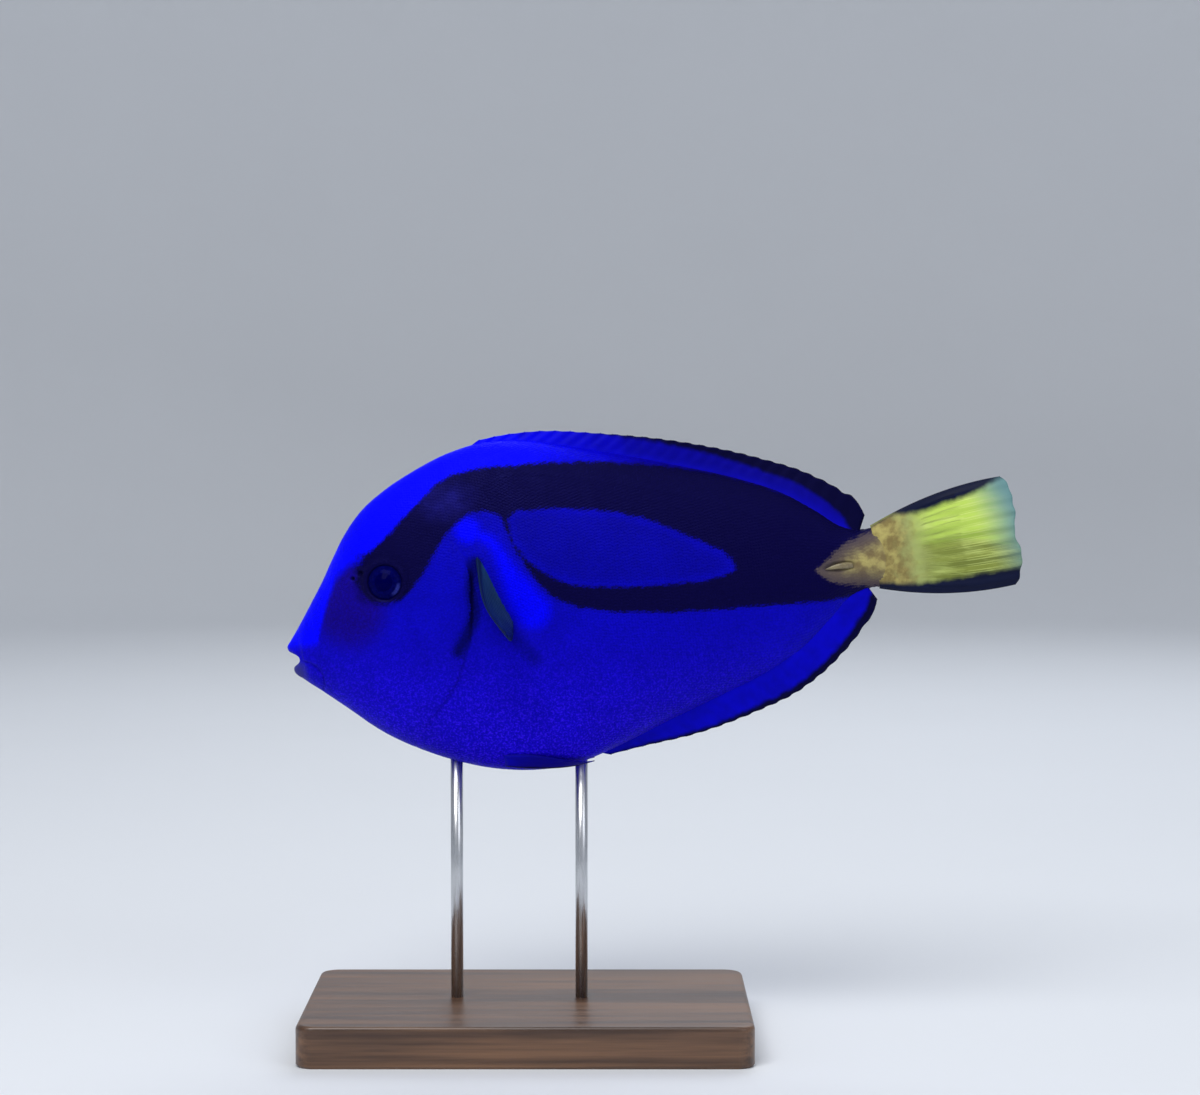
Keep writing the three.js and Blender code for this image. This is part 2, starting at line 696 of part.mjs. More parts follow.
const fish = new THREE.Group();
fish.rotation.copy(hold.rotation);
fish.position.copy(hold.position);
fish.add(
  node("head", head, royalBlue),
  node("lower_jaw", lowerJaw, royalBlue),
  node("trunk", trunk, royalBlue),
  node("tail_stalk", stalk, yellow),
  node("dorsal_fin", dorsalFin, finBlue),
  node("anal_fin", analFin, finBlue),
  node("caudal_fin", caudalFin, yellow),
);
Object.entries(SIDES).forEach(([name, side]) => {
  const { centre, normal } = eyes[name];
  fish.add(
    node(`eye_${name}`, lens(centre, normal, EYE.radius, EYE.depth), eyeBlack),
    node(`pectoral_fin_${name}`, offSkin(pectoralSolid(side)), pectoralTeal),
    node(`pelvic_fin_${name}`, offSkin(pelvicSolid(side)), finBlue),
    node(`tail_spine_${name}`, tailSpine(side), bone),
  );
});

const model = new THREE.Group();
model.add(fish, node("stand_base", baseSolid(), walnut));
Object.entries(rodEnds).forEach(([name, { low, high }]) => {
  model.add(node(`stand_rod_${name}`, bar(low, high, ROD.radius), steel));
});

export default model;
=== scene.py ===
import logging
import math
from collections.abc import Callable
from dataclasses import dataclass
from enum import Enum

import bpy
import numpy as np
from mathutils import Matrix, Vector


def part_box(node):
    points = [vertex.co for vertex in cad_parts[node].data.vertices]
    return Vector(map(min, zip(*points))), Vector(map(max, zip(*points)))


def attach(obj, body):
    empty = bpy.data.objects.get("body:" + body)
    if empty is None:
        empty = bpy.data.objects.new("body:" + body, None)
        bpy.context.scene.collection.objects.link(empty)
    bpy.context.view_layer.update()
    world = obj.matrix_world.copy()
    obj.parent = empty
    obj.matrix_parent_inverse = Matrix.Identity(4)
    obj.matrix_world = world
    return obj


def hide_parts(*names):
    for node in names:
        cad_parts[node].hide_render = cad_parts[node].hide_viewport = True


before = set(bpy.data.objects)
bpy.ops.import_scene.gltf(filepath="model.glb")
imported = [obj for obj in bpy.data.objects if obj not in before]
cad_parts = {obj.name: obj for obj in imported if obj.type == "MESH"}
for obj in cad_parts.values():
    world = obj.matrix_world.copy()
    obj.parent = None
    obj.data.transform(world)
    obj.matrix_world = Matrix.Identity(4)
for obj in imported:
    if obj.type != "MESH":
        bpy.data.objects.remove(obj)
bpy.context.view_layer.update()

log = logging.getLogger("blue_tang")

# Lengths of the fish are in millimetres in its own frame: x from the upper lip to the tail's base,
# y to the fish's right and z up. The stand's frame is in metres, as every object is.
MM = 0.001
NOSE_DOWN = math.radians(8.8)
SNOUT = np.array((-89.66, 0.0, 96.0))
BODY = "root"
BAKE_MAP = "OFBake"


class Side(Enum):
    """The two sides of the fish, each with the sign of its y."""

    LEFT = -1
    RIGHT = 1

    @property
    def word(self) -> str:
        """The side's name in small letters."""
        return self.name.lower()


class Slot(Enum):
    """The record's material slots."""

    SKIN = "skin"
    YELLOW = "yellow_skin"
    FIN = "fin_skin"
    PECTORAL = "pectoral_skin"
    EYE = "eye"
    BONE = "bone"
    WOOD = "walnut"
    STEEL = "steel"


def smoothstep(value: np.ndarray, low: float, high: float) -> np.ndarray:
    """Rises smoothly from 0 at low to 1 at high.

    Args:
        value: Where to read the step.
        low: The last place with 0.
        high: The first place with 1.

    Returns:
        The step at each value.
    """
    t = np.clip((np.asarray(value, float) - low) / (high - low), 0.0, 1.0)
    return t * t * (3.0 - 2.0 * t)


def mix(a: float, b: float, t: np.ndarray) -> np.ndarray:
    """The value a part t of the way from a to b."""
    return a + (b - a) * t


def ridge(away: np.ndarray, width: float) -> np.ndarray:
    """A soft ridge: 1 where away is 0, and next to nothing past twice the width."""
    return np.exp(-((away / width) ** 2))


def to_stand(points: np.ndarray) -> np.ndarray:
    """Turns points of the fish's own frame, in millimetres, into the stand's, in metres."""
    x, y, z = np.asarray(points, float).T
    cos, sin = math.cos(NOSE_DOWN), math.sin(NOSE_DOWN)
    return (np.column_stack((x * cos - z * sin, y, x * sin + z * cos)) + SNOUT) * MM


def turn_to_stand(directions: np.ndarray) -> np.ndarray:
    """Turns directions of the fish's own frame into the stand's."""
    return to_stand(directions) / MM - SNOUT


def unit(vectors: np.ndarray) -> np.ndarray:
    """Each vector at length one."""
    return vectors / np.maximum(np.linalg.norm(vectors, axis=-1, keepdims=True), 1e-12)


class Curve:
    """A smooth curve through values given at rising places."""

    def __init__(self, places: np.ndarray, values: np.ndarray) -> None:
        """Keeps the points and works out the slope at each.

        Args:
            places: The rising places.
            values: One value, or one row of values, at each place.
        """
        self.places = np.asarray(places, float)
        self.values = np.asarray(values, float).reshape(len(self.places), -1)
        steps = np.diff(self.places)[:, None]
        rises = np.diff(self.values, axis=0) / steps
        inner = (rises[:-1] * steps[1:] + rises[1:] * steps[:-1]) / (steps[:-1] + steps[1:])
        self.slopes = np.vstack((rises[:1], inner, rises[-1:]))

    def rows(self, at: np.ndarray) -> np.ndarray:
        """The row of values at each place asked for."""
        at = np.atleast_1d(np.asarray(at, float))
        i = np.clip(np.searchsorted(self.places, at, side="right") - 1, 0, len(self.places) - 2)
        width = (self.places[i + 1] - self.places[i])[:, None]
        t = (at[:, None] - self.places[i][:, None]) / width
        t2, t3 = t * t, t * t * t
        return (
            self.values[i] * (2 * t3 - 3 * t2 + 1)
            + self.slopes[i] * width * (t3 - 2 * t2 + t)
            + self.values[i + 1] * (3 * t2 - 2 * t3)
            + self.slopes[i + 1] * width * (t3 - t2)
        )

    def __call__(self, at: np.ndarray) -> np.ndarray:
        """The single value at each place asked for."""
        return self.rows(at)[:, 0]


def smooth_line(points: tuple, closed: bool = False, steps: int = 8) -> np.ndarray:
    """A smooth line through given points.

    Args:
        points: The points, each x and z.
        closed: Whether the line comes back to its first point.
        steps: How many pieces each stretch becomes.

    Returns:
        The points of the line.
    """
    rows = np.asarray(points, float)
    if closed:
        rows = np.vstack((rows[-2:], rows, rows[:3]))
    reach = np.concatenate(([0.0], np.cumsum(np.linalg.norm(np.diff(rows, axis=0), axis=1))))
    curve = Curve(reach, rows)
    start, end = (2, len(rows) - 3) if closed else (0, len(rows) - 1)
    places = [np.linspace(reach[i], reach[i + 1], steps, endpoint=False) for i in range(start, end)]
    if not closed:
        places.append([reach[end]])
    return curve.rows(np.concatenate(places))


def distance_to(points: np.ndarray, line: np.ndarray, closed: bool = False) -> np.ndarray:
    """How far each point lies from a line.

    Args:
        points: Points of x and z.
        line: The line's points.
        closed: Whether its last point joins its first.

    Returns:
        The distance of each point.
    """
    ends = np.roll(line, -1, axis=0) if closed else line[1:]
    starts = line if closed else line[:-1]
    best = np.full(len(points), np.inf)
    for a, b in zip(starts, ends):
        along = b - a
        t = np.clip((points - a) @ along / max(along @ along, 1e-12), 0.0, 1.0)
        best = np.minimum(best, np.linalg.norm(points - a - t[:, None] * along, axis=1))
    return best


def depth_inside(points: np.ndarray, outline: np.ndarray) -> np.ndarray:
    """How deep each point lies inside a closed outline, less than 0 outside it."""
    x, z = points.T
    inside = np.zeros(len(points), bool)
    for a, b in zip(outline, np.roll(outline, -1, axis=0)):
        crosses = (a[1] > z) != (b[1] > z)
        rise = b[1] - a[1] if abs(b[1] - a[1]) > 1e-12 else 1e-12
        inside ^= crosses & (x < (b[0] - a[0]) * (z - a[1]) / rise + a[0])
    return distance_to(points, outline, closed=True) * np.where(inside, 1.0, -1.0)


def tube_faces(rings: int, around: int, poles: bool = False) -> list:
    """The faces of a tube given as rings of points.

    Args:
        rings: How many rings it has.
        around: How many points each ring has.
        poles: Whether two more points, kept last, close its first and its last ring.

    Returns:
        The faces, as rows of point numbers.
    """
    following = [(k + 1) % around for k in range(around)]
    starts = range(0, (rings - 1) * around, around)
    faces = [(i + k, i + n, i + around + n, i + around + k) for i in starts for k, n in enumerate(following)]
    if poles:
        last, base = rings * around + 1, (rings - 1) * around
        faces += [(last - 1, n, k) for k, n in enumerate(following)]
        faces += [(last, base + k, base + n) for k, n in enumerate(following)]
    return faces


def outward(points: np.ndarray, faces: list) -> list:
    """The faces, all turned round where the closed surface's faces point inwards."""
    triangles = np.array([(f[0], f[i], f[i + 1]) for f in faces for i in range(1, len(f) - 1)])
    a, b, c = (points[triangles[:, i]] for i in range(3))
    volume = np.einsum("ij,ij->i", a, np.cross(b, c)).sum()
    return faces if volume > 0 else [tuple(reversed(f)) for f in faces]


def link(name: str, data: bpy.types.ID) -> bpy.types.Object:
    """Puts a new object with the given mesh, light or camera in the scene."""
    piece = bpy.data.objects.new(name, data)
    bpy.context.scene.collection.objects.link(piece)
    return piece


def keep_numbers(mesh: bpy.types.Mesh, values: dict) -> None:
    """Keeps numbers at the points of a mesh, one row under each name."""
    for key, numbers in values.items():
        mesh.attributes.new(key, "FLOAT", "POINT").data.foreach_set("value", np.asarray(numbers, np.float32))


def keep_vectors(mesh: bpy.types.Mesh, values: dict) -> None:
    """Keeps vectors at the points of a mesh, one table under each name."""
    for key, rows in values.items():
        flat = np.asarray(rows, np.float32).ravel()
        mesh.attributes.new(key, "FLOAT_VECTOR", "POINT").data.foreach_set("vector", flat)


def make_piece(
    name: str,
    points: np.ndarray,
    faces: list,
    material: bpy.types.Material,
    values: dict,
    smooth: bool = True,
) -> bpy.types.Object:
    """Makes a mesh object from points that are already in the stand's frame.

    Args:
        name: The piece's name.
        points: Its points, in metres.
        faces: Its faces, as rows of point numbers.
        material: What it is finished with.
        values: Numbers kept at each point for the material to read.
        smooth: Whether its faces are shaded as one curved surface.

    Returns:
        The new object.
    """
    mesh = bpy.data.meshes.new(name)
    mesh.from_pydata(points.tolist(), [], outward(points, faces))
    mesh.validate()
    keep_numbers(mesh, values)
    mesh.polygons.foreach_set("use_smooth", np.full(len(mesh.polygons), smooth))
    mesh.materials.append(material)
    return link(name, mesh)


def settle(piece: bpy.types.Object, nodes: tuple = ()) -> None:
    """Rides a finished piece on the body and the nodes that it stands for.

    Args:
        piece: The finished piece.
        nodes: The solids that it replaces.
    """
    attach(piece, BODY)
    if nodes:
        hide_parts(*nodes)
    log.info("%s: %d faces", piece.name, len(piece.data.polygons))


class Wiring:
    """Adds nodes to a tree with short calls."""

    tree: bpy.types.NodeTree

    def add(self, kind: str, inputs: dict | None = None, **settings: object) -> bpy.types.Node:
        """Adds a node.

        Args:
            kind: The node's type.
            inputs: A value or another node's output for each named or numbered input.
            settings: The node's own properties.

        Returns:
            The new node.
        """
        node = self.tree.nodes.new(kind)
        for key, value in settings.items():
            setattr(node, key, value)
        for key, value in (inputs or {}).items():
            self.feed(node.inputs[key], value)
        return node

    def feed(self, socket: bpy.types.NodeSocket, value: object) -> None:
        """Gives an input a value, or links another node's output to it."""
        if isinstance(value, bpy.types.NodeSocket):
            self.tree.links.new(value, socket)
        else:
            socket.default_value = value


class Shading(Wiring):
    """Builds one material's nodes with short calls."""

    def __init__(self, name: str, roughness: float, **sockets: object) -> None:
        """Starts a material with one shader.

        Args:
            name: The material's name.
            roughness: The shader's roughness.
            sockets: Values for the shader's own sockets, by their names with underscores.
        """
        self.material = bpy.data.materials.new(name)
        self.material.use_nodes = True
        self.tree = self.material.node_tree
        self.shader = self.tree.nodes["Principled BSDF"]
        self.shader.inputs["Roughness"].default_value = roughness
        for key, value in sockets.items():
            self.shader.inputs[key.replace("_", " ")].default_value = value

    def value(self, name: str) -> bpy.types.NodeSocket:
        """The number kept under a name at each point of the piece."""
        return self.add("ShaderNodeAttribute", attribute_name=name).outputs["Fac"]

    def place(self, stretch: tuple = (1.0, 1.0, 1.0)) -> bpy.types.NodeSocket:
        """Object coordinates, stretched along each axis."""
        source = self.add("ShaderNodeTexCoord").outputs["Object"]
        return self.add("ShaderNodeMapping", {"Vector": source, "Scale": stretch}).outputs["Vector"]

    def noise(
        self, scale: float, detail: float = 4.0, stretch: tuple = (1.0, 1.0, 1.0)
    ) -> bpy.types.NodeSocket:
        """Soft noise of a given scale to the metre."""
        inputs = {"Vector": self.place(stretch), "Scale": scale, "Detail": detail, "Roughness": 0.55}
        return self.add("ShaderNodeTexNoise", inputs).outputs["Fac"]

    def maths(self, kind: str, a: object, b: object = 0.0, c: object = 0.0) -> bpy.types.NodeSocket:
        """One arithmetic step on numbers or sockets."""
        return self.add("ShaderNodeMath", {0: a, 1: b, 2: c}, operation=kind).outputs[0]

    def step(
        self, value: object, low: float, high: float, first: float = 0.0, last: float = 1.0
    ) -> bpy.types.NodeSocket:
        """A smooth step of a value from low to high."""
        inputs = {"Value": value, "From Min": low, "From Max": high, "To Min": first, "To Max": last}
        return self.add("ShaderNodeMapRange", inputs, interpolation_type="SMOOTHSTEP").outputs["Result"]

    def blend(self, part: object, a: object, b: object, kind: str = "MIX") -> bpy.types.NodeSocket:
        """A colour a part of the way from a to b."""
        node = self.add("ShaderNodeMix", data_type="RGBA", blend_type=kind)
        for key, value in (("Factor_Float", part), ("A_Color", a), ("B_Color", b)):
            socket = next(s for s in node.inputs if s.identifier == key)
            self.feed(socket, (*value, 1.0) if isinstance(value, tuple) else value)
        return next(s for s in node.outputs if s.identifier == "Result_Color")

    def colour(self, source: bpy.types.NodeSocket) -> None:
        """Links the shader's colour."""
        self.tree.links.new(source, self.shader.inputs["Base Color"])

    def roughness(self, source: bpy.types.NodeSocket) -> None:
        """Links the shader's roughness."""
        self.tree.links.new(source, self.shader.inputs["Roughness"])

    def bump(self, height: bpy.types.NodeSocket, distance: float, strength: float = 1.0) -> None:
        """Raises the surface by a height, after any bump that is there already.

        Args:
            height: What to raise it by, from 0 to 1.
            distance: The height of 1, in metres.
            strength: How much of it shows.
        """
        node = self.add("ShaderNodeBump", {"Height": height, "Distance": distance, "Strength": strength})
        before = self.shader.inputs["Normal"].links
        if before:
            self.tree.links.new(before[0].from_socket, node.inputs["Normal"])
        self.tree.links.new(node.outputs["Normal"], self.shader.inputs["Normal"])


Colour = tuple[float, float, float]


@dataclass(frozen=True)
class Amber:
    """The mottled amber of the tail's base, alike on the skin and on the tail fin."""

    front: Colour = (0.085, 0.065, 0.055)
    deep: Colour = (0.20, 0.15, 0.055)
    pale: Colour = (0.42, 0.36, 0.12)

    def over(self, paint: Shading) -> bpy.types.NodeSocket:
        """The mottled colour as a socket of a paint."""
        return paint.blend(paint.step(paint.noise(330.0, 5.0), 0.36, 0.66), self.deep, self.pale)


@dataclass(frozen=True)
class BodyPaint:
    """The fish's skin: royal blue, a near-black band and a yellow wedge at the tail's base."""

    # Painted top light: the brighter blue along the forehead and back
    crown: Colour = (0.0, 0.0, 1.0)
    back: Colour = (0.002, 0.0003, 0.19)
    flank: Colour = (0.0015, 0.001, 0.40)
    belly: Colour = (0.010, 0.0015, 0.66)
    grain: Colour = (0.036, 0.009, 0.76)
    oval: Colour = (0.0015, 0.001, 0.30)
    face: Colour = (0.006, 0.0008, 0.185)
    shadow: Colour = (0.0, 0.0005, 0.075)
    band: Colour = (0.0014, 0.0007, 0.026)
    sheen: Colour = (0.007, 0.006, 0.125)
    lip: Colour = (0.03, 0.03, 0.22)
    # Painted shade in the pits, slits, creases and inside the mouth
    dark: Colour = (0.001, 0.0005, 0.02)
    amber: Amber = Amber()
    middle_height: float = 0.113
    grain_height: float = 0.100
    belly_height: float = 0.068

    def blues(self, paint: Shading, grains: bpy.types.NodeSocket) -> bpy.types.NodeSocket:
        """The blues of the flank, belly, back and face, with the painted shade by the pectoral fin and the
        painted top light and highlight.

        Args:
            paint: The paint that they are part of.
            grains: A fine grain from 0 to 1.

        Returns:
            Their colour.
        """
        height = paint.add("ShaderNodeSeparateXYZ", {"Vector": paint.place()}).outputs["Z"]
        low = paint.step(height, self.middle_height, self.belly_height)
        speckle = paint.maths("MULTIPLY", low, paint.step(grains, 0.35, 0.7, 0.35, 1.0))
        blue = paint.blend(speckle, self.flank, self.belly)
        under = paint.step(height, self.grain_height, self.belly_height, 0.0, 0.6)
        violet = paint.maths("MULTIPLY", under, paint.step(grains, 0.50, 0.68))
        blue = paint.blend(violet, blue, self.grain)
        blue = paint.blend(paint.value("back"), blue, self.back)
        blue = paint.blend(paint.step(paint.value("oval"), -0.5, 2.5), blue, self.oval)
        freckles = paint.step(grains, 0.3, 0.75, 1.0, 0.72)
        freckled = paint.maths("MULTIPLY", paint.value("face"), freckles)
        blue = paint.blend(freckled, blue, self.face)
        blue = paint.blend(paint.value("shadow"), blue, self.shadow)
        # Painted top light along the forehead and back, and the painted highlight by the pectoral fin's root
        blue = paint.blend(paint.value("crown"), blue, self.crown)
        patches = paint.step(paint.noise(90.0, 5.0), 0.3, 0.75, 0.88, 1.08)
        shade = paint.maths("MULTIPLY", patches, paint.step(grains, 0.25, 0.75, 0.86, 1.10))
        grey = paint.add("ShaderNodeCombineColor", {0: shade, 1: shade, 2: shade}).outputs[0]
        return paint.blend(1.0, blue, grey, "MULTIPLY")

    def make(self) -> bpy.types.Material:
        """Builds the paint of the skin and its scales."""
        tint = (0.12, 0.12, 1.0, 1.0)
        paint = Shading("body_paint", 0.5, Specular_IOR_Level=0.22, Specular_Tint=tint)
        wander = paint.maths("SUBTRACT", paint.noise(420.0, 3.0), 0.5)
        grains = paint.noise(1900.0, 2.0)
        blue = self.blues(paint, grains)
        ragged = paint.maths("MULTIPLY_ADD", wander, 1.5, paint.value("band"))
        band_edge = paint.maths("MULTIPLY_ADD", paint.maths("SUBTRACT", grains, 0.5), 1.4, ragged)
        # The grey painted sheen on the band at the nape, broken into patches
        sheen_patches = paint.step(paint.noise(300.0, 4.0), 0.3, 0.75, 0.35, 1.0)
        black = paint.blend(paint.maths("MULTIPLY", paint.value("nape"), sheen_patches), self.band, self.sheen)
        colour = paint.blend(paint.step(band_edge, -0.5, 0.6), blue, black)
        yellow_edge = paint.maths("MULTIPLY_ADD", wander, 2.2, paint.value("yellow"))
        into_tail = paint.step(paint.value("yellow"), 0.8, 6.2)
        tail = paint.blend(into_tail, self.amber.front, self.amber.over(paint))
        colour = paint.blend(paint.step(yellow_edge, -0.4, 0.8), colour, tail)
        colour = paint.blend(paint.value("lip"), colour, self.lip)
        # Painted shade in the pits, slits, creases and inside the mouth
        colour = paint.blend(paint.value("pit"), colour, self.dark)
        paint.colour(colour)
        paint.roughness(paint.step(paint.noise(260.0), 0.2, 0.8, 0.42, 0.58))
        inputs = {"Vector": paint.place((1.0, 1.0, 1.35)), "Scale": 1500.0}
        scales = paint.add("ShaderNodeTexVoronoi", inputs, feature="F1").outputs["Distance"]
        paint.bump(paint.step(scales, 0.0, 0.8, 1.0, 0.0), 0.00005, 0.6)
        return paint.material


@dataclass(frozen=True)
class FinPaint:
    """A fin's skin, with a dark rim along its edge."""

    name: str
    root: Colour
    web: Colour
    tip: Colour
    ray: Colour
    rim: Colour
    rim_soft: float = 0.7
    roughness: float = 0.5
    tint: Colour = (0.15, 0.15, 1.0)

    def make(self) -> bpy.types.Material:
        """Builds the paint from the numbers kept at each point of the fin."""
        paint = Shading(self.name, self.roughness, Specular_IOR_Level=0.22, Specular_Tint=(*self.tint, 1.0))
        wander = paint.maths("SUBTRACT", paint.noise(500.0, 3.0), 0.5)
        colour = paint.blend(paint.step(paint.value("out"), 0.0, 0.5), self.root, self.web)
        colour = paint.blend(paint.value("end"), colour, self.tip)
        streak = paint.step(paint.noise(700.0, 3.0, (0.25, 1.0, 0.25)), 0.35, 0.75)
        colour = paint.blend(paint.maths("MULTIPLY", streak, 0.35), colour, self.ray)
        colour = paint.blend(paint.value("ray"), colour, self.ray)
        edge = paint.maths("MULTIPLY_ADD", wander, 1.2, paint.value("rim"))
        colour = paint.blend(paint.step(edge, -self.rim_soft, self.rim_soft), colour, self.rim)
        paint.colour(colour)
        paint.bump(paint.noise(2600.0, 2.0), 0.00004, 0.6)
        return paint.material


@dataclass(frozen=True)
class TailPaint:
    """The tail fin: amber at its root, lime above its crease, olive below it as painted shade, with dark
    upper and lower rims.
    """

    amber: Amber = Amber()
    straw: Colour = (0.33, 0.37, 0.13)
    lime: Colour = (0.44, 0.60, 0.10)
    # Painted shade: the darker olive of the tail below its crease
    olive: Colour = (0.21, 0.25, 0.05)
    margin: Colour = (0.13, 0.26, 0.27)
    ray: Colour = (0.60, 0.70, 0.22)
    rim: Colour = (0.0022, 0.005, 0.030)

    def make(self) -> bpy.types.Material:
        """Builds the paint from the numbers kept at each point of the fin."""
        paint = Shading("tail_paint", 0.5, Specular_IOR_Level=0.12, Specular_Tint=(1.0, 1.0, 0.7, 1.0))
        wander = paint.maths("SUBTRACT", paint.noise(420.0, 3.0), 0.5)
        streaks = paint.noise(600.0, 4.0, (0.16, 1.0, 1.0))
        low = paint.maths("MULTIPLY_ADD", paint.maths("SUBTRACT", streaks, 0.5), 0.9, paint.value("low"))
        # Painted shade below the crease: lime above, olive below
        colour = paint.blend(paint.step(low, 0.25, 0.75), self.lime, self.olive)
        colour = paint.blend(paint.maths("MULTIPLY", paint.step(streaks, 0.48, 0.7), 0.4), colour, self.ray)
        out = paint.maths("MULTIPLY_ADD", wander, 0.16, paint.value("out"))
        colour = paint.blend(paint.step(out, 0.22, 0.46), self.straw, colour)
        root = paint.maths("MULTIPLY_ADD", wander, 1.1, paint.value("root"))
        colour = paint.blend(paint.step(root, 0.1, 0.9), colour, self.amber.over(paint))
        colour = paint.blend(paint.value("ray"), colour, self.ray)
        colour = paint.blend(paint.value("end"), colour, self.margin)
        edge = paint.maths("MULTIPLY_ADD", wander, 1.2, paint.value("rim"))
        colour = paint.blend(paint.step(edge, -0.8, 0.8), colour, self.rim)
        paint.colour(colour)
        paint.bump(paint.noise(2600.0, 2.0), 0.00004, 0.6)
        return paint.material


@dataclass(frozen=True)
class EyeGlass:
    """A near-black glass eye with a thin pale crescent behind its pupil, painted as a glint."""

    pupil: Colour = (0.0, 0.0, 0.042)
    iris: Colour = (0.0004, 0.0006, 0.050)
    fleck: Colour = (0.001, 0.0015, 0.075)
    # Painted glint: the pale crescent at the lower rear of the iris
    crescent: Colour = (0.024, 0.030, 0.24)
    pupil_radius: float = 2.25
    crescent_radius: float = 3.6

    def make(self) -> bpy.types.Material:
        """Builds the eye from the distance and the bearing kept at each point."""
        paint = Shading("eye_glass", 0.1, IOR=1.08, Specular_Tint=(0.4, 0.4, 1.0, 1.0))
        radial = paint.value("radial")
        iris = paint.blend(paint.step(paint.noise(1500.0, 4.0), 0.35, 0.7), self.iris, self.fleck)
        # Painted glint: a pale crescent at one bearing round the iris, broken by noise
        near = paint.maths("ABSOLUTE", paint.maths("SUBTRACT", radial, self.crescent_radius))
        arc = paint.step(paint.value("bearing"), 0.84, 0.99)
        crescent = paint.maths("MULTIPLY", paint.step(near, 0.1, 0.6, 1.0, 0.0), arc)
        broken = paint.maths("MULTIPLY", crescent, paint.step(paint.noise(2200.0, 3.0), 0.3, 0.6, 0.5, 1.0))
        iris = paint.blend(broken, iris, self.crescent)
        lens = paint.step(radial, self.pupil_radius - 0.08, self.pupil_radius + 0.05)
        paint.colour(paint.blend(lens, self.pupil, iris))
        return paint.material


@dataclass(frozen=True)
class BoneFinish:
    """The pale, smooth spine at the tail's base."""

    bone: Colour = (0.24, 0.20, 0.10)
    root: Colour = (0.13, 0.10, 0.055)

    def make(self) -> bpy.types.Material:
        """Builds the spine's finish."""
        paint = Shading("spine_bone", 0.28, Specular_IOR_Level=0.55)
        paint.colour(paint.blend(paint.step(paint.noise(900.0, 4.0), 0.3, 0.75), self.bone, self.root))
        return paint.material


@dataclass(frozen=True)
class WalnutFinish:
    """Oiled dark walnut with its grain along the base."""

    dark: Colour = (0.045, 0.020, 0.010)
    pale: Colour = (0.17, 0.085, 0.042)

    def make(self) -> bpy.types.Material:
        """Builds the wood."""
        wood = Shading("oiled_walnut", 0.38, Specular_IOR_Level=0.45, Coat_Weight=0.25, Coat_Roughness=0.25)
        grain = wood.noise(150.0, 3.0, (0.05, 1.0, 1.0))
        fibres = wood.noise(700.0, 4.0, (0.03, 1.0, 1.0))
        figure = wood.maths("MULTIPLY_ADD", fibres, 0.4, wood.maths("MULTIPLY", grain, 0.6))
        wood.colour(wood.blend(wood.step(figure, 0.36, 0.64), self.dark, self.pale))
        wood.roughness(wood.step(figure, 0.3, 0.7, 0.32, 0.48))
        wood.bump(fibres, 0.00006, 0.5)
        return wood.material


@dataclass(frozen=True)
class SteelFinish:
    """Brushed steel of the rods."""

    steel: Colour = (0.60, 0.61, 0.63)

    def make(self) -> bpy.types.Material:
        """Builds the metal, brushed along the rod."""
        metal = Shading("brushed_rod_steel", 0.26, Metallic=1.0)
        brushing = metal.noise(3800.0, 3.0, (1.0, 1.0, 0.02))
        metal.colour(metal.blend(metal.step(brushing, 0.3, 0.7, 0.0, 0.35), self.steel, (0.36, 0.37, 0.39)))
        metal.roughness(metal.step(brushing, 0.3, 0.7, 0.2, 0.36))
        return metal.material


@dataclass(frozen=True)
class StageFinish:
    """The plain pale floor and backdrop."""

    pale: Colour = (0.74, 0.76, 0.79)

    def make(self) -> bpy.types.Material:
        """Builds the stage's finish."""
        stage = Shading("pale_stage", 0.75, Specular_IOR_Level=0.2)
        stage.colour(stage.blend(stage.noise(6.0, 2.0), self.pale, tuple(0.97 * c for c in self.pale)))
        return stage.material


# One ring of the body: the points at its top and bottom, half its width, and how far its sides lie
# behind the line between them.
MOUTH_RINGS = (
    (7.0, -3.9, 7.0, -4.5, 0.7, 0.0),
    (5.4, -3.2, 5.4, -4.7, 1.5, 0.2),
    (3.2, -2.4, 3.2, -4.6, 1.9, 0.6),
    (1.2, -1.6, 1.6, -4.5, 2.2, 1.5),
    (0.2, -0.9, 0.9, -5.0, 2.5, 2.2),
    (0.0, 0.2, 0.8, -6.0, 2.8, 2.4),
    (0.9, 1.4, 1.4, -7.0, 2.95, 2.0),
    (2.2, 3.0, 2.6, -8.0, 3.2, 1.1),
)

# Upright sections of the body: x, the back's and the belly's height, and half the width
SECTIONS = (
    (4, 5.3, -9.3, 3.7),
    (7, 9.3, -11.9, 4.7),
    (10.5, 14.0, -15.1, 5.7),
    (14, 19.3, -18.4, 6.7),
    (18, 25.0, -22.2, 7.7),
    (23, 30.2, -26.1, 8.8),
    (29, 34.1, -29.8, 9.8),
    (37, 37.8, -33.8, 10.8),
    (46, 40.8, -37.0, 11.6),
    (55, 42.1, -38.7, 12.1),
    (64, 41.2, -38.9, 12.2),
    (75, 38.2, -36.4, 11.7),
    (88, 34.0, -32.2, 10.4),
    (102, 29.1, -28.0, 8.5),
    (115, 24.1, -23.8, 6.6),
    (125, 19.1, -18.9, 5.0),
    (132, 13.9, -13.4, 4.0),
    (138, 8.9, -8.6, 3.4),
    (143, 7.1, -7.2, 3.0),
    (149.5, 8.1, -8.0, 1.3),
)

GILL_LINE = (
    (41.5, 46), (42.2, 32), (43.6, 21), (47.0, 13.5), (46.4, 4), (43.8, -6), (39, -15), (32, -22.5),
    (25, -31),
)

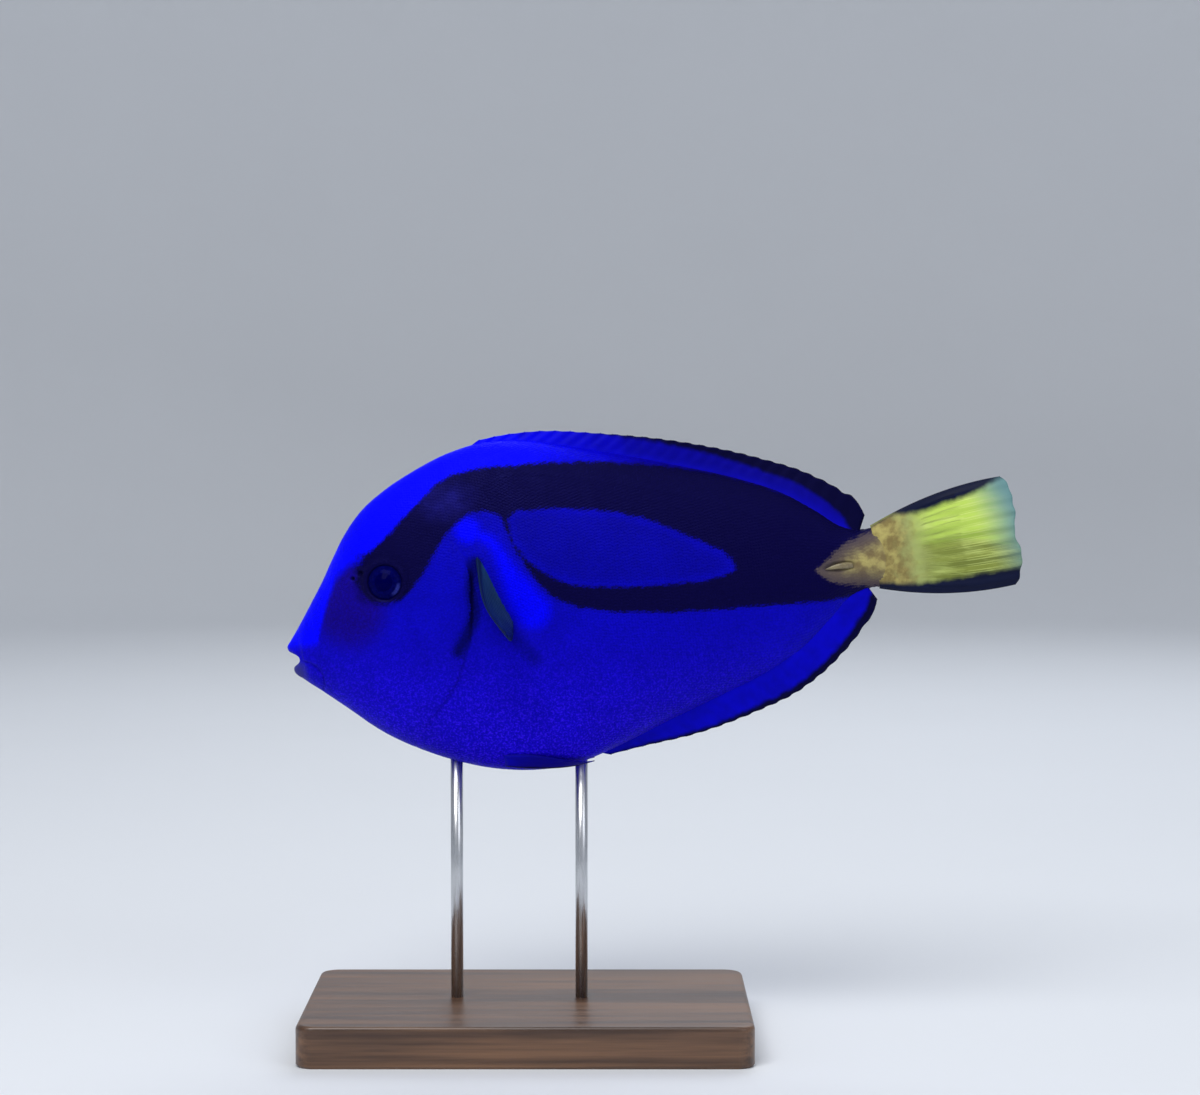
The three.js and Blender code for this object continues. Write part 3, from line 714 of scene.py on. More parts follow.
# The heights between which the gill cover's edge and its slit fade in from below and out to the top,
# and between which the slit opens
GILL_FOOT, GILL_TOP = (-27, -14), (13, 22)
SLIT_FOOT, SLIT_TOP, SLIT_OPENS = (-29, -22), (10, 16), (-9, 3)

# The folds of the jaw and the cheek, and the line along the flank
JAW_LINE = ((3.4, -3.6), (5.2, -4.4), (7.2, -6.2), (7.9, -8.6), (7.4, -11.2))
CHEEK_LINE = ((31.5, 3.0), (34.5, -2.5), (34.0, -9.0), (29.5, -15.0), (22.5, -18.5))
FLANK_LINE = (
    (46, 29), (60, 33.5), (76, 30.5), (92, 25.5), (108, 19.5), (120, 12.5), (129, 5.0), (140, 1.0),
)

# The near-black band: over the eye, along the back to the tail, and back under the oval
BAND_OUTLINE = (
    (19.5, 12.6), (19.8, 16.6), (21.6, 19.0), (25.6, 21.4), (31.9, 26.1), (38.9, 31.7), (43.6, 34.6),
    (49.5, 36.2), (58.1, 36.0), (67.8, 35.3), (77.5, 34.1), (87.1, 32.4), (96.6, 30.1), (106.0, 27.5),
    (115.3, 23.6), (124.5, 19.2), (131.1, 15.2), (137.0, 11.5), (143.0, 9.5), (150.0, 10.5),
    (150.0, -10.5), (143.0, -9.0), (132.5, -8.8), (115.5, -7.3), (100.9, -6.0), (86.4, -4.0),
    (76.8, -2.0), (71.2, 0.0), (66.0, 3.2), (62.0, 8.9), (59.2, 14.6), (57.6, 20.2), (55.6, 24.8),
    (51.6, 26.0), (47.0, 24.8), (43.6, 22.3), (40.7, 19.1), (37.5, 14.6), (34.5, 11.4), (31.7, 8.9),
    (28.0, 7.6), (23.5, 7.8), (20.5, 9.6),
)
OVAL_OUTLINE = (
    (58.7, 23.6), (66.1, 24.3), (75.7, 22.8), (85.2, 20.3), (92.1, 17.3), (98.9, 13.3), (105.0, 9.4),
    (109.6, 5.6), (110.2, 3.0), (106.0, 1.6), (97.0, 1.6), (88.0, 2.4), (79.0, 3.6), (72.0, 5.2),
    (67.0, 7.7), (62.8, 11.4), (60.0, 15.2), (58.3, 19.0),
)
WEDGE_OUTLINE = (
    (156.0, 9.6), (147.5, 7.9), (144.6, 6.7), (140.2, 5.5), (136.4, 3.9), (132.6, 1.2), (129.8, -1.1),
    (132.2, -3.6), (136.4, -5.4), (142.6, -7.0), (148.0, -8.6), (156.0, -10.0),
)

# How wide the painted top light along the forehead and back is at each x, and how bright it is
CROWN_WIDTHS = (
    (7.3, 7.0), (8.8, 5.3), (10.5, 4.1), (12.6, 3.1), (14.6, 2.7), (18.4, 4.2), (22.7, 7.8), (30.0, 9.5),
    (38.0, 8.5), (44.0, 6.8), (60.0, 6.8),
)
CROWN_LIGHT = ((60.0, 1.0), (73.0, 0.6), (92.0, 0.12), (115.0, 0.0))

# The middles of the darker face, the grey painted sheen on the nape and the pale lower lip
FACE_SPOT, NAPE_SPOT, LIP_SPOT = (17.0, 9.0), (44.0, 29.5), (1.0, -6.3)

# The painted highlight over and behind the pectoral fin's root, and the painted shade in front of and under
# the fin
PAINTED_HIGHLIGHT_SPOT = (48.2, 21.9)
PAINTED_HIGHLIGHT_LINE = ((49.5, 21.2), (53.3, 18.5), (56.6, 10.5), (59.0, 4.5), (61.0, 0.5))
SHADE_LINE = ((48.8, 14.1), (47.2, 8.0), (46.9, 2.1), (44.5, -2.5), (41.6, -6.4))
UNDER_LINE = ((54.5, -2.8), (57.0, -7.0), (59.4, -10.9))

# The edges of the fins along the back and the belly, and how wide each one's dark rim is at each x
DORSAL_EDGE = (
    (51, 42.6), (59, 43.2), (69, 42.8), (83, 40.1), (102, 35.2), (121, 28.1), (132.4, 22.4),
    (139.5, 17.0), (143.4, 12.4), (143.9, 10.6),
)
ANAL_EDGE = (
    (71, -38.2), (81, -37.3), (96, -36.1), (111, -32.9), (122, -29.5), (132.7, -23.0), (140, -16.2),
    (143.5, -11.6), (143.9, -10.4),
)
DORSAL_RIM = (
    (51, -1.0), (78, -0.8), (85, 0.2), (107, 1.7), (121, 2.9), (129.5, 3.4), (138.5, 4.9), (144, 5.4),
)
ANAL_RIM = ((71, 0.2), (90, 0.7), (110, 1.3), (125, 1.8), (144, 2.2))
ANAL_LIGHT = ((71.0, 0.30), (144.0, 0.36))


class BodyShape:
    """The fish's body, as rings that start inside the mouth and run to the tail's base."""

    def __init__(self) -> None:
        """Works out the rings' places along the body."""
        upright = [(x, top, x, bottom, half, 0.0) for x, top, bottom, half in SECTIONS]
        rings = np.array([*MOUTH_RINGS, *upright], float)
        steps = np.diff(rings, axis=0)
        reach = (np.hypot(steps[:, 0], steps[:, 1]) + np.hypot(steps[:, 2], steps[:, 3])) / 2
        places = np.concatenate(([0.0], np.cumsum(reach)))
        self.rings = Curve(places, rings)
        self.body_start = float(places[len(MOUTH_RINGS)])
        self.end = float(places[-1])
        fine = np.linspace(self.body_start, self.end, 4000)
        self.fine_places, self.fine_x = fine, self.rings.rows(fine)[:, 0]
        sections = np.array(SECTIONS, float)
        self.back = Curve(sections[:, 0], sections[:, 1])
        self.belly = Curve(sections[:, 0], sections[:, 2])
        gill = np.array(GILL_LINE, float)
        self.gill_edge = Curve(-gill[:, 1], gill[:, 0])

    def place_at(self, x: np.ndarray) -> np.ndarray:
        """The place along the rings whose upright section stands at x."""
        return np.interp(x, self.fine_x, self.fine_places)

    def surface(self, place: np.ndarray, angle: np.ndarray) -> np.ndarray:
        """Points of the bare surface.

        Args:
            place: The place along the rings of each point.
            angle: The angle round the ring, 0 on the right and a quarter turn on top.

        Returns:
            The points, in the fish's frame.
        """
        top_x, top_z, bottom_x, bottom_z, half, bow = self.rings.rows(place).T
        side, up = np.cos(angle), np.sin(angle)
        x = (top_x + bottom_x) / 2 + (top_x - bottom_x) / 2 * up + bow * side * side
        z = (top_z + bottom_z) / 2 + (top_z - bottom_z) / 2 * up
        rear = smoothstep(x, 60, 115)
        lean = np.where(up > 0, 1.06 + 0.14 * rear, 0.88 + 0.34 * rear)
        y = half * np.sign(side) * np.abs(side) ** lean
        return np.column_stack((x, y, z))

    def frame_at(self, place: np.ndarray, angle: np.ndarray) -> tuple[np.ndarray, np.ndarray, np.ndarray]:
        """Surface points with the way out of the skin and the way to the tail.

        Args:
            place: The place along the rings of each point.
            angle: The angle round the ring.

        Returns:
            The points, the outward normals and the directions to the tail.
        """
        probe = 0.02
        point = self.surface(place, angle)
        along = self.surface(place + probe, angle) - self.surface(place - probe, angle)
        around = self.surface(place, angle + probe) - self.surface(place, angle - probe)
        out = unit(np.cross(around, along))
        return point, out, unit(along)

    def behind_gill(self, x: np.ndarray, z: np.ndarray) -> np.ndarray:
        """How far behind the gill cover's rear edge each x and z lies."""
        return x - self.gill_edge(np.clip(-z, -GILL_LINE[0][1], -GILL_LINE[-1][1]))

    def flank(self, x: np.ndarray, z: np.ndarray, side: Side) -> tuple[np.ndarray, np.ndarray, np.ndarray]:
        """The same as frame_at, for points of one flank given by their x and z."""
        place = self.place_at(np.atleast_1d(x))
        _, top, _, bottom, _, _ = self.rings.rows(place).T
        up = np.clip((np.atleast_1d(z) - (top + bottom) / 2) / ((top - bottom) / 2), -1.0, 1.0)
        angle = np.arcsin(up)
        return self.frame_at(place, angle if side is Side.RIGHT else math.pi - angle)


@dataclass(frozen=True)
class Relief:
    """The folds, pits and edges of the skin, as heights over the bare surface, with painted shade in the
    pits, slits and creases.
    """

    shape: BodyShape
    eye: tuple[float, float] = (26.6, 12.6)
    nostrils: tuple = ((19.0, 14.6, 0.62), (21.0, 15.6, 0.82))
    groove: tuple[float, float, float, float] = (135.7, -0.8, 4.3, 1.5)
    gill_height: float = 0.55
    slit_depth: float = 0.5
    slit_behind: float = 0.35
    cheek_depth: float = 0.10
    jaw_depth: float = 0.26
    flank_height: float = 0.06
    eyelid: tuple[float, float] = (4.9, 0.30)
    eye_moat: tuple[float, float] = (6.2, 0.12)
    socket_radius: float = 4.35
    socket_depth: float = 2.4
    nostril_rim: float = 0.16
    nostril_depth: float = 0.75
    groove_rim: float = 0.12
    groove_depth: float = 0.5

    def gill(self, x: np.ndarray, z: np.ndarray) -> tuple[np.ndarray, np.ndarray]:
        """The gill cover's raised rear edge and the slit behind it, with painted shade in the slit."""
        behind = self.shape.behind_gill(x, z)
        cover = smoothstep(behind, -15, -1) * (1 - smoothstep(behind, -0.1, 0.35))
        cover *= smoothstep(z, *GILL_FOOT) * (1 - smoothstep(z, *GILL_TOP))
        slit = ridge(behind - self.slit_behind, 0.42) * mix(0.12, 1.0, smoothstep(z, *SLIT_OPENS))
        slit *= smoothstep(z, *SLIT_FOOT) * (1 - smoothstep(z, *SLIT_TOP))
        return self.gill_height * cover - self.slit_depth * slit, 0.8 * slit

    def creases(self, x: np.ndarray, z: np.ndarray) -> tuple[np.ndarray, np.ndarray]:
        """The folds of the cheek and the jaw, and the raised line along the flank, with painted shade in the
        jaw's fold.
        """
        flat = np.column_stack((x, z))
        cheek, jaw, flank = (
            ridge(distance_to(flat, smooth_line(line)), width)
            for line, width in ((CHEEK_LINE, 0.6), (JAW_LINE, 0.32), (FLANK_LINE, 0.35))
        )
        return self.flank_height * flank - self.cheek_depth * cheek - self.jaw_depth * jaw, 0.3 * jaw

    def socket(self, x: np.ndarray, z: np.ndarray) -> tuple[np.ndarray, np.ndarray]:
        """The lid round the eye, the shallow moat outside it and the socket, with painted shade at the
        socket's wall.
        """
        away = np.hypot(x - self.eye[0], z - self.eye[1])
        (lid_radius, lid), (moat_radius, moat) = self.eyelid, self.eye_moat
        lift = lid * ridge(away - lid_radius, 0.55) - moat * ridge(away - moat_radius, 0.7)
        wall = self.socket_radius - away
        return lift - self.socket_depth * smoothstep(wall, 0.1, 1.15), smoothstep(wall, 0.0, 0.45)

    def nostril(self, x: np.ndarray, z: np.ndarray) -> tuple[np.ndarray, np.ndarray]:
        """The two nostrils, each a pit with a low rim and painted shade inside."""
        lift, dark = np.zeros(len(x)), np.zeros(len(x))
        for at_x, at_z, radius in self.nostrils:
            away = np.hypot(x - at_x, z - at_z)
            lift += self.nostril_rim * ridge(away - radius * 1.35, 0.3)
            lift -= self.nostril_depth * (1 - smoothstep(away, 0.25 * radius, radius))
            dark = np.maximum(dark, 1 - smoothstep(away, 0.55 * radius, radius))
        return lift, dark

    def spine_groove(self, x: np.ndarray, z: np.ndarray) -> tuple[np.ndarray, np.ndarray]:
        """The groove that the tail spine lies in, with its low rim and painted shade in it."""
        at_x, at_z, half_length, half_height = self.groove
        oval = np.hypot((x - at_x) / half_length, (z - at_z) / half_height)
        floor = 1 - smoothstep(oval, 0.6, 1.0)
        lift = self.groove_rim * ridge(oval - 1.1, 0.12) - self.groove_depth * floor
        return lift, 0.35 * (1 - smoothstep(oval, 0.8, 1.05))

    def heights(self, points: np.ndarray) -> tuple[np.ndarray, np.ndarray]:
        """How far the skin stands out and how much painted shade its pits and creases get.

        Args:
            points: Points of the bare surface.

        Returns:
            The heights, and the painted shade from 0 to 1.
        """
        x, z = points[:, 0], points[:, 2]
        forms = (self.gill, self.creases, self.socket, self.nostril, self.spine_groove)
        lifts, darks = zip(*(form(x, z) for form in forms))
        return sum(lifts), np.max(darks, axis=0)


class Markings:
    """Where the band, the oval and the yellow wedge lie on the fish's sides."""

    def __init__(self) -> None:
        """Smooths the outlines."""
        self.band = smooth_line(BAND_OUTLINE, closed=True, steps=4)
        self.oval = smooth_line(OVAL_OUTLINE, closed=True, steps=4)
        self.wedge = smooth_line(WEDGE_OUTLINE, closed=True, steps=3)
        self.crown = smooth_line(((0, 0), *((x, top) for x, top, _, _ in SECTIONS)), steps=3)
        self.glow = smooth_line(PAINTED_HIGHLIGHT_LINE)
        self.shade = smooth_line(SHADE_LINE)
        self.under = smooth_line(UNDER_LINE)

    @staticmethod
    def from_spot(flat: np.ndarray, spot: tuple, stretch: tuple = (1.0, 1.0)) -> np.ndarray:
        """How far each point lies from a spot, with x and z stretched."""
        return np.linalg.norm((flat - spot) * stretch, axis=1)

    def pectoral_light(self, flat: np.ndarray) -> tuple[np.ndarray, np.ndarray]:
        """The light and the shade round the pectoral fin's root.

        Args:
            flat: Points of x and z.

        Returns:
            How bright and how shaded each point is, from 0 to 1.
        """
        _, z = flat.T
        # Painted highlight over and behind the root, painted shade in front of and under the fin
        spot = 1 - smoothstep(self.from_spot(flat, PAINTED_HIGHLIGHT_SPOT), 1.2, 4.6)
        spread = mix(1.3, 4.3, smoothstep(-z, -19.0, 0.0))
        streak = 1 - smoothstep(distance_to(flat, self.glow) - spread, -2.2, 1.6)
        front = 1 - smoothstep(distance_to(flat, self.shade), 0.3, 2.6)
        under = 1 - smoothstep(distance_to(flat, self.under), 0.4, 3.0)
        return np.maximum(spot, 0.9 * streak), np.maximum(0.9 * front, 0.5 * under)

    def values(self, points: np.ndarray) -> dict:
        """The depth inside each marking at points of the fish's frame.

        Args:
            points: Points of the skin.

        Returns:
            The numbers for the paint, under their names.
        """
        flat = points[:, [0, 2]]
        x, z = flat.T
        oval = depth_inside(flat, self.oval)
        from_top = distance_to(flat, self.crown)
        past_crown = from_top - np.interp(x, *zip(*CROWN_WIDTHS))
        # Painted top light along the forehead and back, fading towards the tail
        crown = (1 - smoothstep(past_crown, -0.9, 1.1)) * np.interp(x, *zip(*CROWN_LIGHT))
        glow, shade = self.pectoral_light(flat)
        band = np.minimum(depth_inside(flat, self.band), -oval)
        soft = mix(0.35, 1.0, smoothstep(x, 20.0, 27.0))
        muzzle = 1 - smoothstep(self.from_spot(flat, FACE_SPOT, (1 / 0.85, 1.0)), 6.5, 14.5)
        lip = 1 - smoothstep(self.from_spot(flat, LIP_SPOT, (1.0, 0.8)), 1.2, 4.2)
        return {
            "band": band * soft,
            "oval": oval,
            "yellow": depth_inside(flat, self.wedge),
            # Painted top light, with the painted highlight by the pectoral fin's root
            "crown": np.maximum(crown * smoothstep(z, -1.5, 1.5), glow),
            "back": (1 - smoothstep(from_top, 6.8, 9.0)) * smoothstep(x, 62, 95) * smoothstep(z, -3, 3),
            "shadow": shade,
            "face": muzzle * smoothstep(past_crown, -0.6, 1.4),
            # Where the painted sheen on the nape lies
            "nape": 1 - smoothstep(self.from_spot(flat, NAPE_SPOT, (0.9, 1.4)), 2.0, 9.0),
            "lip": lip * smoothstep(-z, 2.8, 4.2),
        }


@dataclass(frozen=True)
class Skin:
    """One skin over the whole body, from inside the mouth to the tail's base."""

    shape: BodyShape
    relief: Relief
    markings: Markings
    # The length over which the painted shade inside the mouth fades out
    inside_mouth: float = 2.6
    mouth_rings: int = 56
    head: tuple[float, float, float] = (4.0, 50.0, 0.28)
    rest: tuple[float, float, float] = (50.0, 149.4, 0.62)
    around: int = 112

    def stations(self) -> np.ndarray:
        """The places of the rings, close together over the head."""
        head, rest = (self.shape.place_at(np.arange(*stretch)) for stretch in (self.head, self.rest))
        mouth = np.linspace(0.0, self.shape.body_start, self.mouth_rings, endpoint=False)
        return np.concatenate((mouth, head, rest, [self.shape.end]))

    def angles(self) -> np.ndarray:
        """The angles of the ring's points, close together at the eye's height."""
        fine = np.linspace(-90.0, 90.0, 2000)
        share = np.cumsum(1.0 + 1.6 * ridge(fine - 25.0, 15.0))
        right = np.interp(np.linspace(share[0], share[-1], self.around + 1), share, fine)
        return np.radians(np.concatenate((right[:-1], 180.0 - right[::-1][:-1])))

    def build(self, material: bpy.types.Material) -> bpy.types.Object:
        """Builds the skin.

        Args:
            material: The body's paint.

        Returns:
            The skin's object.
        """
        stations, angles = self.stations(), self.angles()
        place = np.repeat(stations, len(angles))
        angle = np.tile(angles, len(stations))
        bare, out, _ = self.shape.frame_at(place, angle)
        lift, dark = self.relief.heights(bare)
        on_face = smoothstep(place, self.shape.body_start - 3.0, self.shape.body_start)
        points = bare + out * (lift * on_face)[:, None]
        # Painted shade in the pits and creases, and inside the mouth
        dark = np.maximum(dark * on_face, 1 - smoothstep(place, 2.0, 2.0 + self.inside_mouth))
        first, last = points[: len(angles)].mean(axis=0), points[-len(angles):].mean(axis=0)
        points = np.vstack((points, first, last))
        faces = tube_faces(len(stations), len(angles), poles=True)
        values = self.markings.values(points)
        values["pit"] = np.concatenate((dark, [1.0, 0.0]))
        skin = make_piece("skin", to_stand(points), faces, material, values)
        settle(skin, ("head", "lower_jaw", "trunk", "tail_stalk"))
        return skin


class NodeTree(Wiring):
    """Builds one Geometry Nodes tree with short calls."""

    def __init__(self, name: str) -> None:
        """Starts a tree with its geometry in and out."""
        self.tree = bpy.data.node_groups.new(name, "GeometryNodeTree")
        self.tree.interface.new_socket("Geometry", in_out="INPUT", socket_type="NodeSocketGeometry")
        self.tree.interface.new_socket("Geometry", in_out="OUTPUT", socket_type="NodeSocketGeometry")
        self.inputs = self.tree.nodes.new("NodeGroupInput")
        self.output = self.tree.nodes.new("NodeGroupOutput")
        self.identifiers: dict[str, str] = {}

    def knob(self, name: str, kind: str = "NodeSocketFloat") -> bpy.types.NodeSocket:
        """Adds a named input to the tree.

        Args:
            name: The input's name.
            kind: Its socket type.

        Returns:
            The socket inside the tree.
        """
        socket = self.tree.interface.new_socket(name, in_out="INPUT", socket_type=kind)
        self.identifiers[name] = socket.identifier
        return next(s for s in self.inputs.outputs if s.identifier == socket.identifier)

    def named(self, name: str, kind: str = "FLOAT") -> bpy.types.NodeSocket:
        """The values kept under a name."""
        node = self.add("GeometryNodeInputNamedAttribute", {"Name": name}, data_type=kind)
        return next(s for s in node.outputs if s.enabled and s.name == "Attribute")

    def close(self, geometry: bpy.types.NodeSocket) -> None:
        """Ends the tree: instances are realized and the material is set."""
        realized = self.add("GeometryNodeRealizeInstances", {"Geometry": geometry})
        paint = self.knob("Material", "NodeSocketMaterial")
        ended = self.add("GeometryNodeSetMaterial", {"Geometry": realized.outputs[0], "Material": paint})
        self.tree.links.new(ended.outputs[0], self.output.inputs[0])

    def grow(self, source: bpy.types.Object, name: str, values: dict) -> bpy.types.Object:
        """Runs the tree on an object and keeps the result as a plain mesh.

        Args:
            source: The object that carries the points or lines.
            name: The new piece's name.
            values: A value for each named input.

        Returns:
            The new piece.
        """
        modifier = source.modifiers.new("growth", "NODES")
        modifier.node_group = self.tree
        for key, value in values.items():
            modifier[self.identifiers[key]] = value
        graph = bpy.context.evaluated_depsgraph_get()
        mesh = bpy.data.meshes.new_from_object(source.evaluated_get(graph), depsgraph=graph)
        source.modifiers.remove(modifier)
        bpy.data.objects.remove(source)
        mesh.name = name
        return link(name, mesh)


def scatter(
    name: str, points: np.ndarray, values: dict, vectors: dict, edges: list | None = None
) -> bpy.types.Object:
    """Makes an object of bare points or lines for a tree to grow on.

    Args:
        name: The object's name.
        points: The points, in metres.
        values: Numbers kept at each point.
        vectors: Vectors kept at each point.
        edges: The pairs of points that are joined.

    Returns:
        The new object.
    """
    mesh = bpy.data.meshes.new(name)
    mesh.from_pydata(points.tolist(), edges or [], [])
    keep_numbers(mesh, values)
    keep_vectors(mesh, vectors)
    return link(name, mesh)


# One scale for a length and a width of 1: its rim from the root round to the root, and its crest
SCALE_RIM = (
    (-0.5, 0.0, -0.07),
    (-0.15, 0.46, -0.03),
    (0.25, 0.42, 0.03),
    (0.52, 0.0, 0.065),
    (0.25, -0.42, 0.03),
    (-0.15, -0.46, -0.03),
)
SCALE_CREST = (0.0, 0.0, 0.075)


@dataclass(frozen=True)
class ScaleCoat:
    """Small overlapping scales over the skin, each pointing to the tail."""

    shape: BodyShape
    relief: Relief
    markings: Markings
    row_gap: float = 0.66
    scale_gap: float = 0.74
    length: float = 1.25
    width: float = 0.95
    lift: float = 1.0
    first_x: float = 7.5
    last_x: float = 146.0
    patch: float = 0.003
    split_x: float = 62.0
    snout_size: float = 0.62
    grown_from: tuple[float, float] = (12.0, 45.0)
    stray: float = 0.05
    seed: int = 11

    def plate(self) -> bpy.types.Object:
        """One scale: a thin closed plate with its root sunk and its rear edge raised."""
        points = [*SCALE_RIM, SCALE_CREST]
        crest = len(SCALE_RIM)
        faces = [(crest, i, (i + 1) % crest) for i in range(crest)] + [tuple(reversed(range(crest)))]
        mesh = bpy.data.meshes.new("scale_plate")
        mesh.from_pydata(points, [], faces)
        keep_vectors(mesh, {"spot": [(x, y, 0.0) for x, y, _ in points]})
        return link("scale_plate", mesh)

    def roots(self) -> tuple[np.ndarray, np.ndarray, np.ndarray]:
        """The places, angles and sizes of all the scales of the right side.

        Returns:
            The place along the rings, the angle and the size of each scale.
        """
        draw = np.random.default_rng(self.seed)
        places, angles, sizes = [], [], []
        x, odd = self.first_x, 0
        fine = np.linspace(-math.pi / 2, math.pi / 2, 400)
        while x < self.last_x:
            size = float(mix(self.snout_size, 1.0, smoothstep(x, *self.grown_from)))
            place = float(self.shape.place_at(np.array([x]))[0])
            ring = self.shape.surface(np.full(len(fine), place), fine)
            reach = np.concatenate(([0.0], np.cumsum(np.linalg.norm(np.diff(ring, axis=0), axis=1))))
            count = max(4, int(reach[-1] / (self.scale_gap * size)))
            spots = (np.arange(count) + 0.25 + 0.5 * odd) / count * reach[-1]
            spots = spots + draw.normal(0.0, self.stray, count)
            angles.append(np.interp(spots, reach, fine))
            places.append(np.full(count, place) + draw.normal(0.0, self.stray, count))
            sizes.append(size * draw.uniform(0.9, 1.1, count))
            x += self.row_gap * size
            odd = 1 - odd
        return np.concatenate(places), np.concatenate(angles), np.concatenate(sizes)

    def bare(self, points: np.ndarray) -> np.ndarray:
        """Which points carry no scale: the eye, nostrils, gill opening, jaw and the spine's groove."""
        x, z = points[:, 0], points[:, 2]
        keep = np.hypot(x - self.relief.eye[0], z - self.relief.eye[1]) > 4.9
        for nx, nz, radius in self.relief.nostrils:
            keep &= np.hypot(x - nx, z - nz) > radius + 0.45
        behind = self.shape.behind_gill(x, z)
        keep &= ~((np.abs(behind - 0.3) < 0.7) & (z < 20) & (z > -29))
        gx, gz, half_length, half_height = self.relief.groove
        keep &= np.hypot((x - gx) / half_length, (z - gz) / half_height) > 1.25
        return keep

    def tree(self) -> NodeTree:
        """The tree that sets a plate at each root, along the lie of the skin."""
        tree = NodeTree("scale_coat")
        plate, length = tree.knob("Plate", "NodeSocketObject"), tree.knob("Length")
        width, lift, patch = tree.knob("Width"), tree.knob("Lift"), tree.knob("Patch")
        seed = tree.knob("Seed", "NodeSocketInt")

        def vector(name: str) -> bpy.types.NodeSocket:
            """The vectors kept under a name."""
            return tree.named(name, "FLOAT_VECTOR")

        turned = tree.add(
            "FunctionNodeAxesToRotation",
            {0: vector("out"), 1: vector("lie")},
            primary_axis="Z",
            secondary_axis="X",
        )
        chance = tree.add("FunctionNodeRandomValue", {2: 0.9, 3: 1.1, "Seed": seed}, data_type="FLOAT")
        sizes = {0: tree.named("size"), 1: chance.outputs[1]}
        size = tree.add("ShaderNodeMath", sizes, operation="MULTIPLY").outputs[0]
        shape = tree.add("ShaderNodeCombineXYZ", {0: length, 1: width, 2: lift}).outputs[0]
        scale = tree.add("ShaderNodeVectorMath", {0: shape, "Scale": size}, operation="SCALE").outputs[0]
        info = tree.add("GeometryNodeObjectInfo", {"Object": plate})
        placed = tree.add(
            "GeometryNodeInstanceOnPoints",
            {
                "Points": tree.inputs.outputs[0],
                "Instance": info.outputs["Geometry"],
                "Rotation": turned.outputs[0],
                "Scale": scale,
            },
        )
        real = tree.add("GeometryNodeRealizeInstances", {"Geometry": placed.outputs[0]})
        offset = tree.add("ShaderNodeVectorMath", {0: vector("spot"), "Scale": patch}, operation="SCALE")
        uv = tree.add("ShaderNodeVectorMath", {0: vector("root_uv"), 1: offset.outputs[0]}, operation="ADD")
        stored = tree.add(
            "GeometryNodeStoreNamedAttribute",
            {"Geometry": real.outputs[0], "Name": BAKE_MAP, "Value": uv.outputs[0]},
            data_type="FLOAT2",
            domain="CORNER",
        )
        tree.close(stored.outputs[0])
        return tree

    def build(self, material: bpy.types.Material) -> list[bpy.types.Object]:
        """Builds the coat as a front and a rear piece on each side.

        Args:
            material: The body's paint.

        Returns:
            The pieces.
        """
        places, angles, sizes = self.roots()
        tree, plate, pieces = self.tree(), self.plate(), []
        for side in Side:
            turned = angles if side is Side.RIGHT else math.pi - angles
            point, out, lie = self.shape.frame_at(places, turned)
            lift, dark = self.relief.heights(point)
            keep = self.bare(point)
            for word, part in (("front", point[:, 0] < self.split_x), ("rear", point[:, 0] >= self.split_x)):
                chosen = keep & part
                root = point[chosen] + out[chosen] * lift[chosen][:, None]
                values = self.markings.values(root)
                # The painted shade of the pits and creases at each scale's root
                values["pit"] = dark[chosen]
                values["size"] = sizes[chosen] * MM
                along = places[chosen] / self.shape.end
                round_ring = (turned[chosen] + math.pi / 2) / (2 * math.pi)
                vectors = {
                    "out": turn_to_stand(out[chosen]),
                    "lie": turn_to_stand(lie[chosen]),
                    "root_uv": np.column_stack((0.01 + 0.98 * along, 0.01 + 0.98 * round_ring, 0 * along)),
                }
                carrier = scatter("scale_roots", to_stand(root), values, vectors)
                name = f"scales_{side.word}_{word}"
                knobs = {"Plate": plate, "Length": self.length, "Width": self.width, "Lift": self.lift}
                knobs |= {"Patch": self.patch, "Seed": self.seed, "Material": material}
                piece = tree.grow(carrier, name, knobs)
                settle(piece)
                pieces.append(piece)
        bpy.data.objects.remove(plate)
        return pieces


@dataclass(frozen=True)
class Ray:
    """One fin ray: where it runs over the fin, how thick it is in millimetres, and how pale."""

    across: np.ndarray
    along: np.ndarray
    girth: np.ndarray
    tone: float


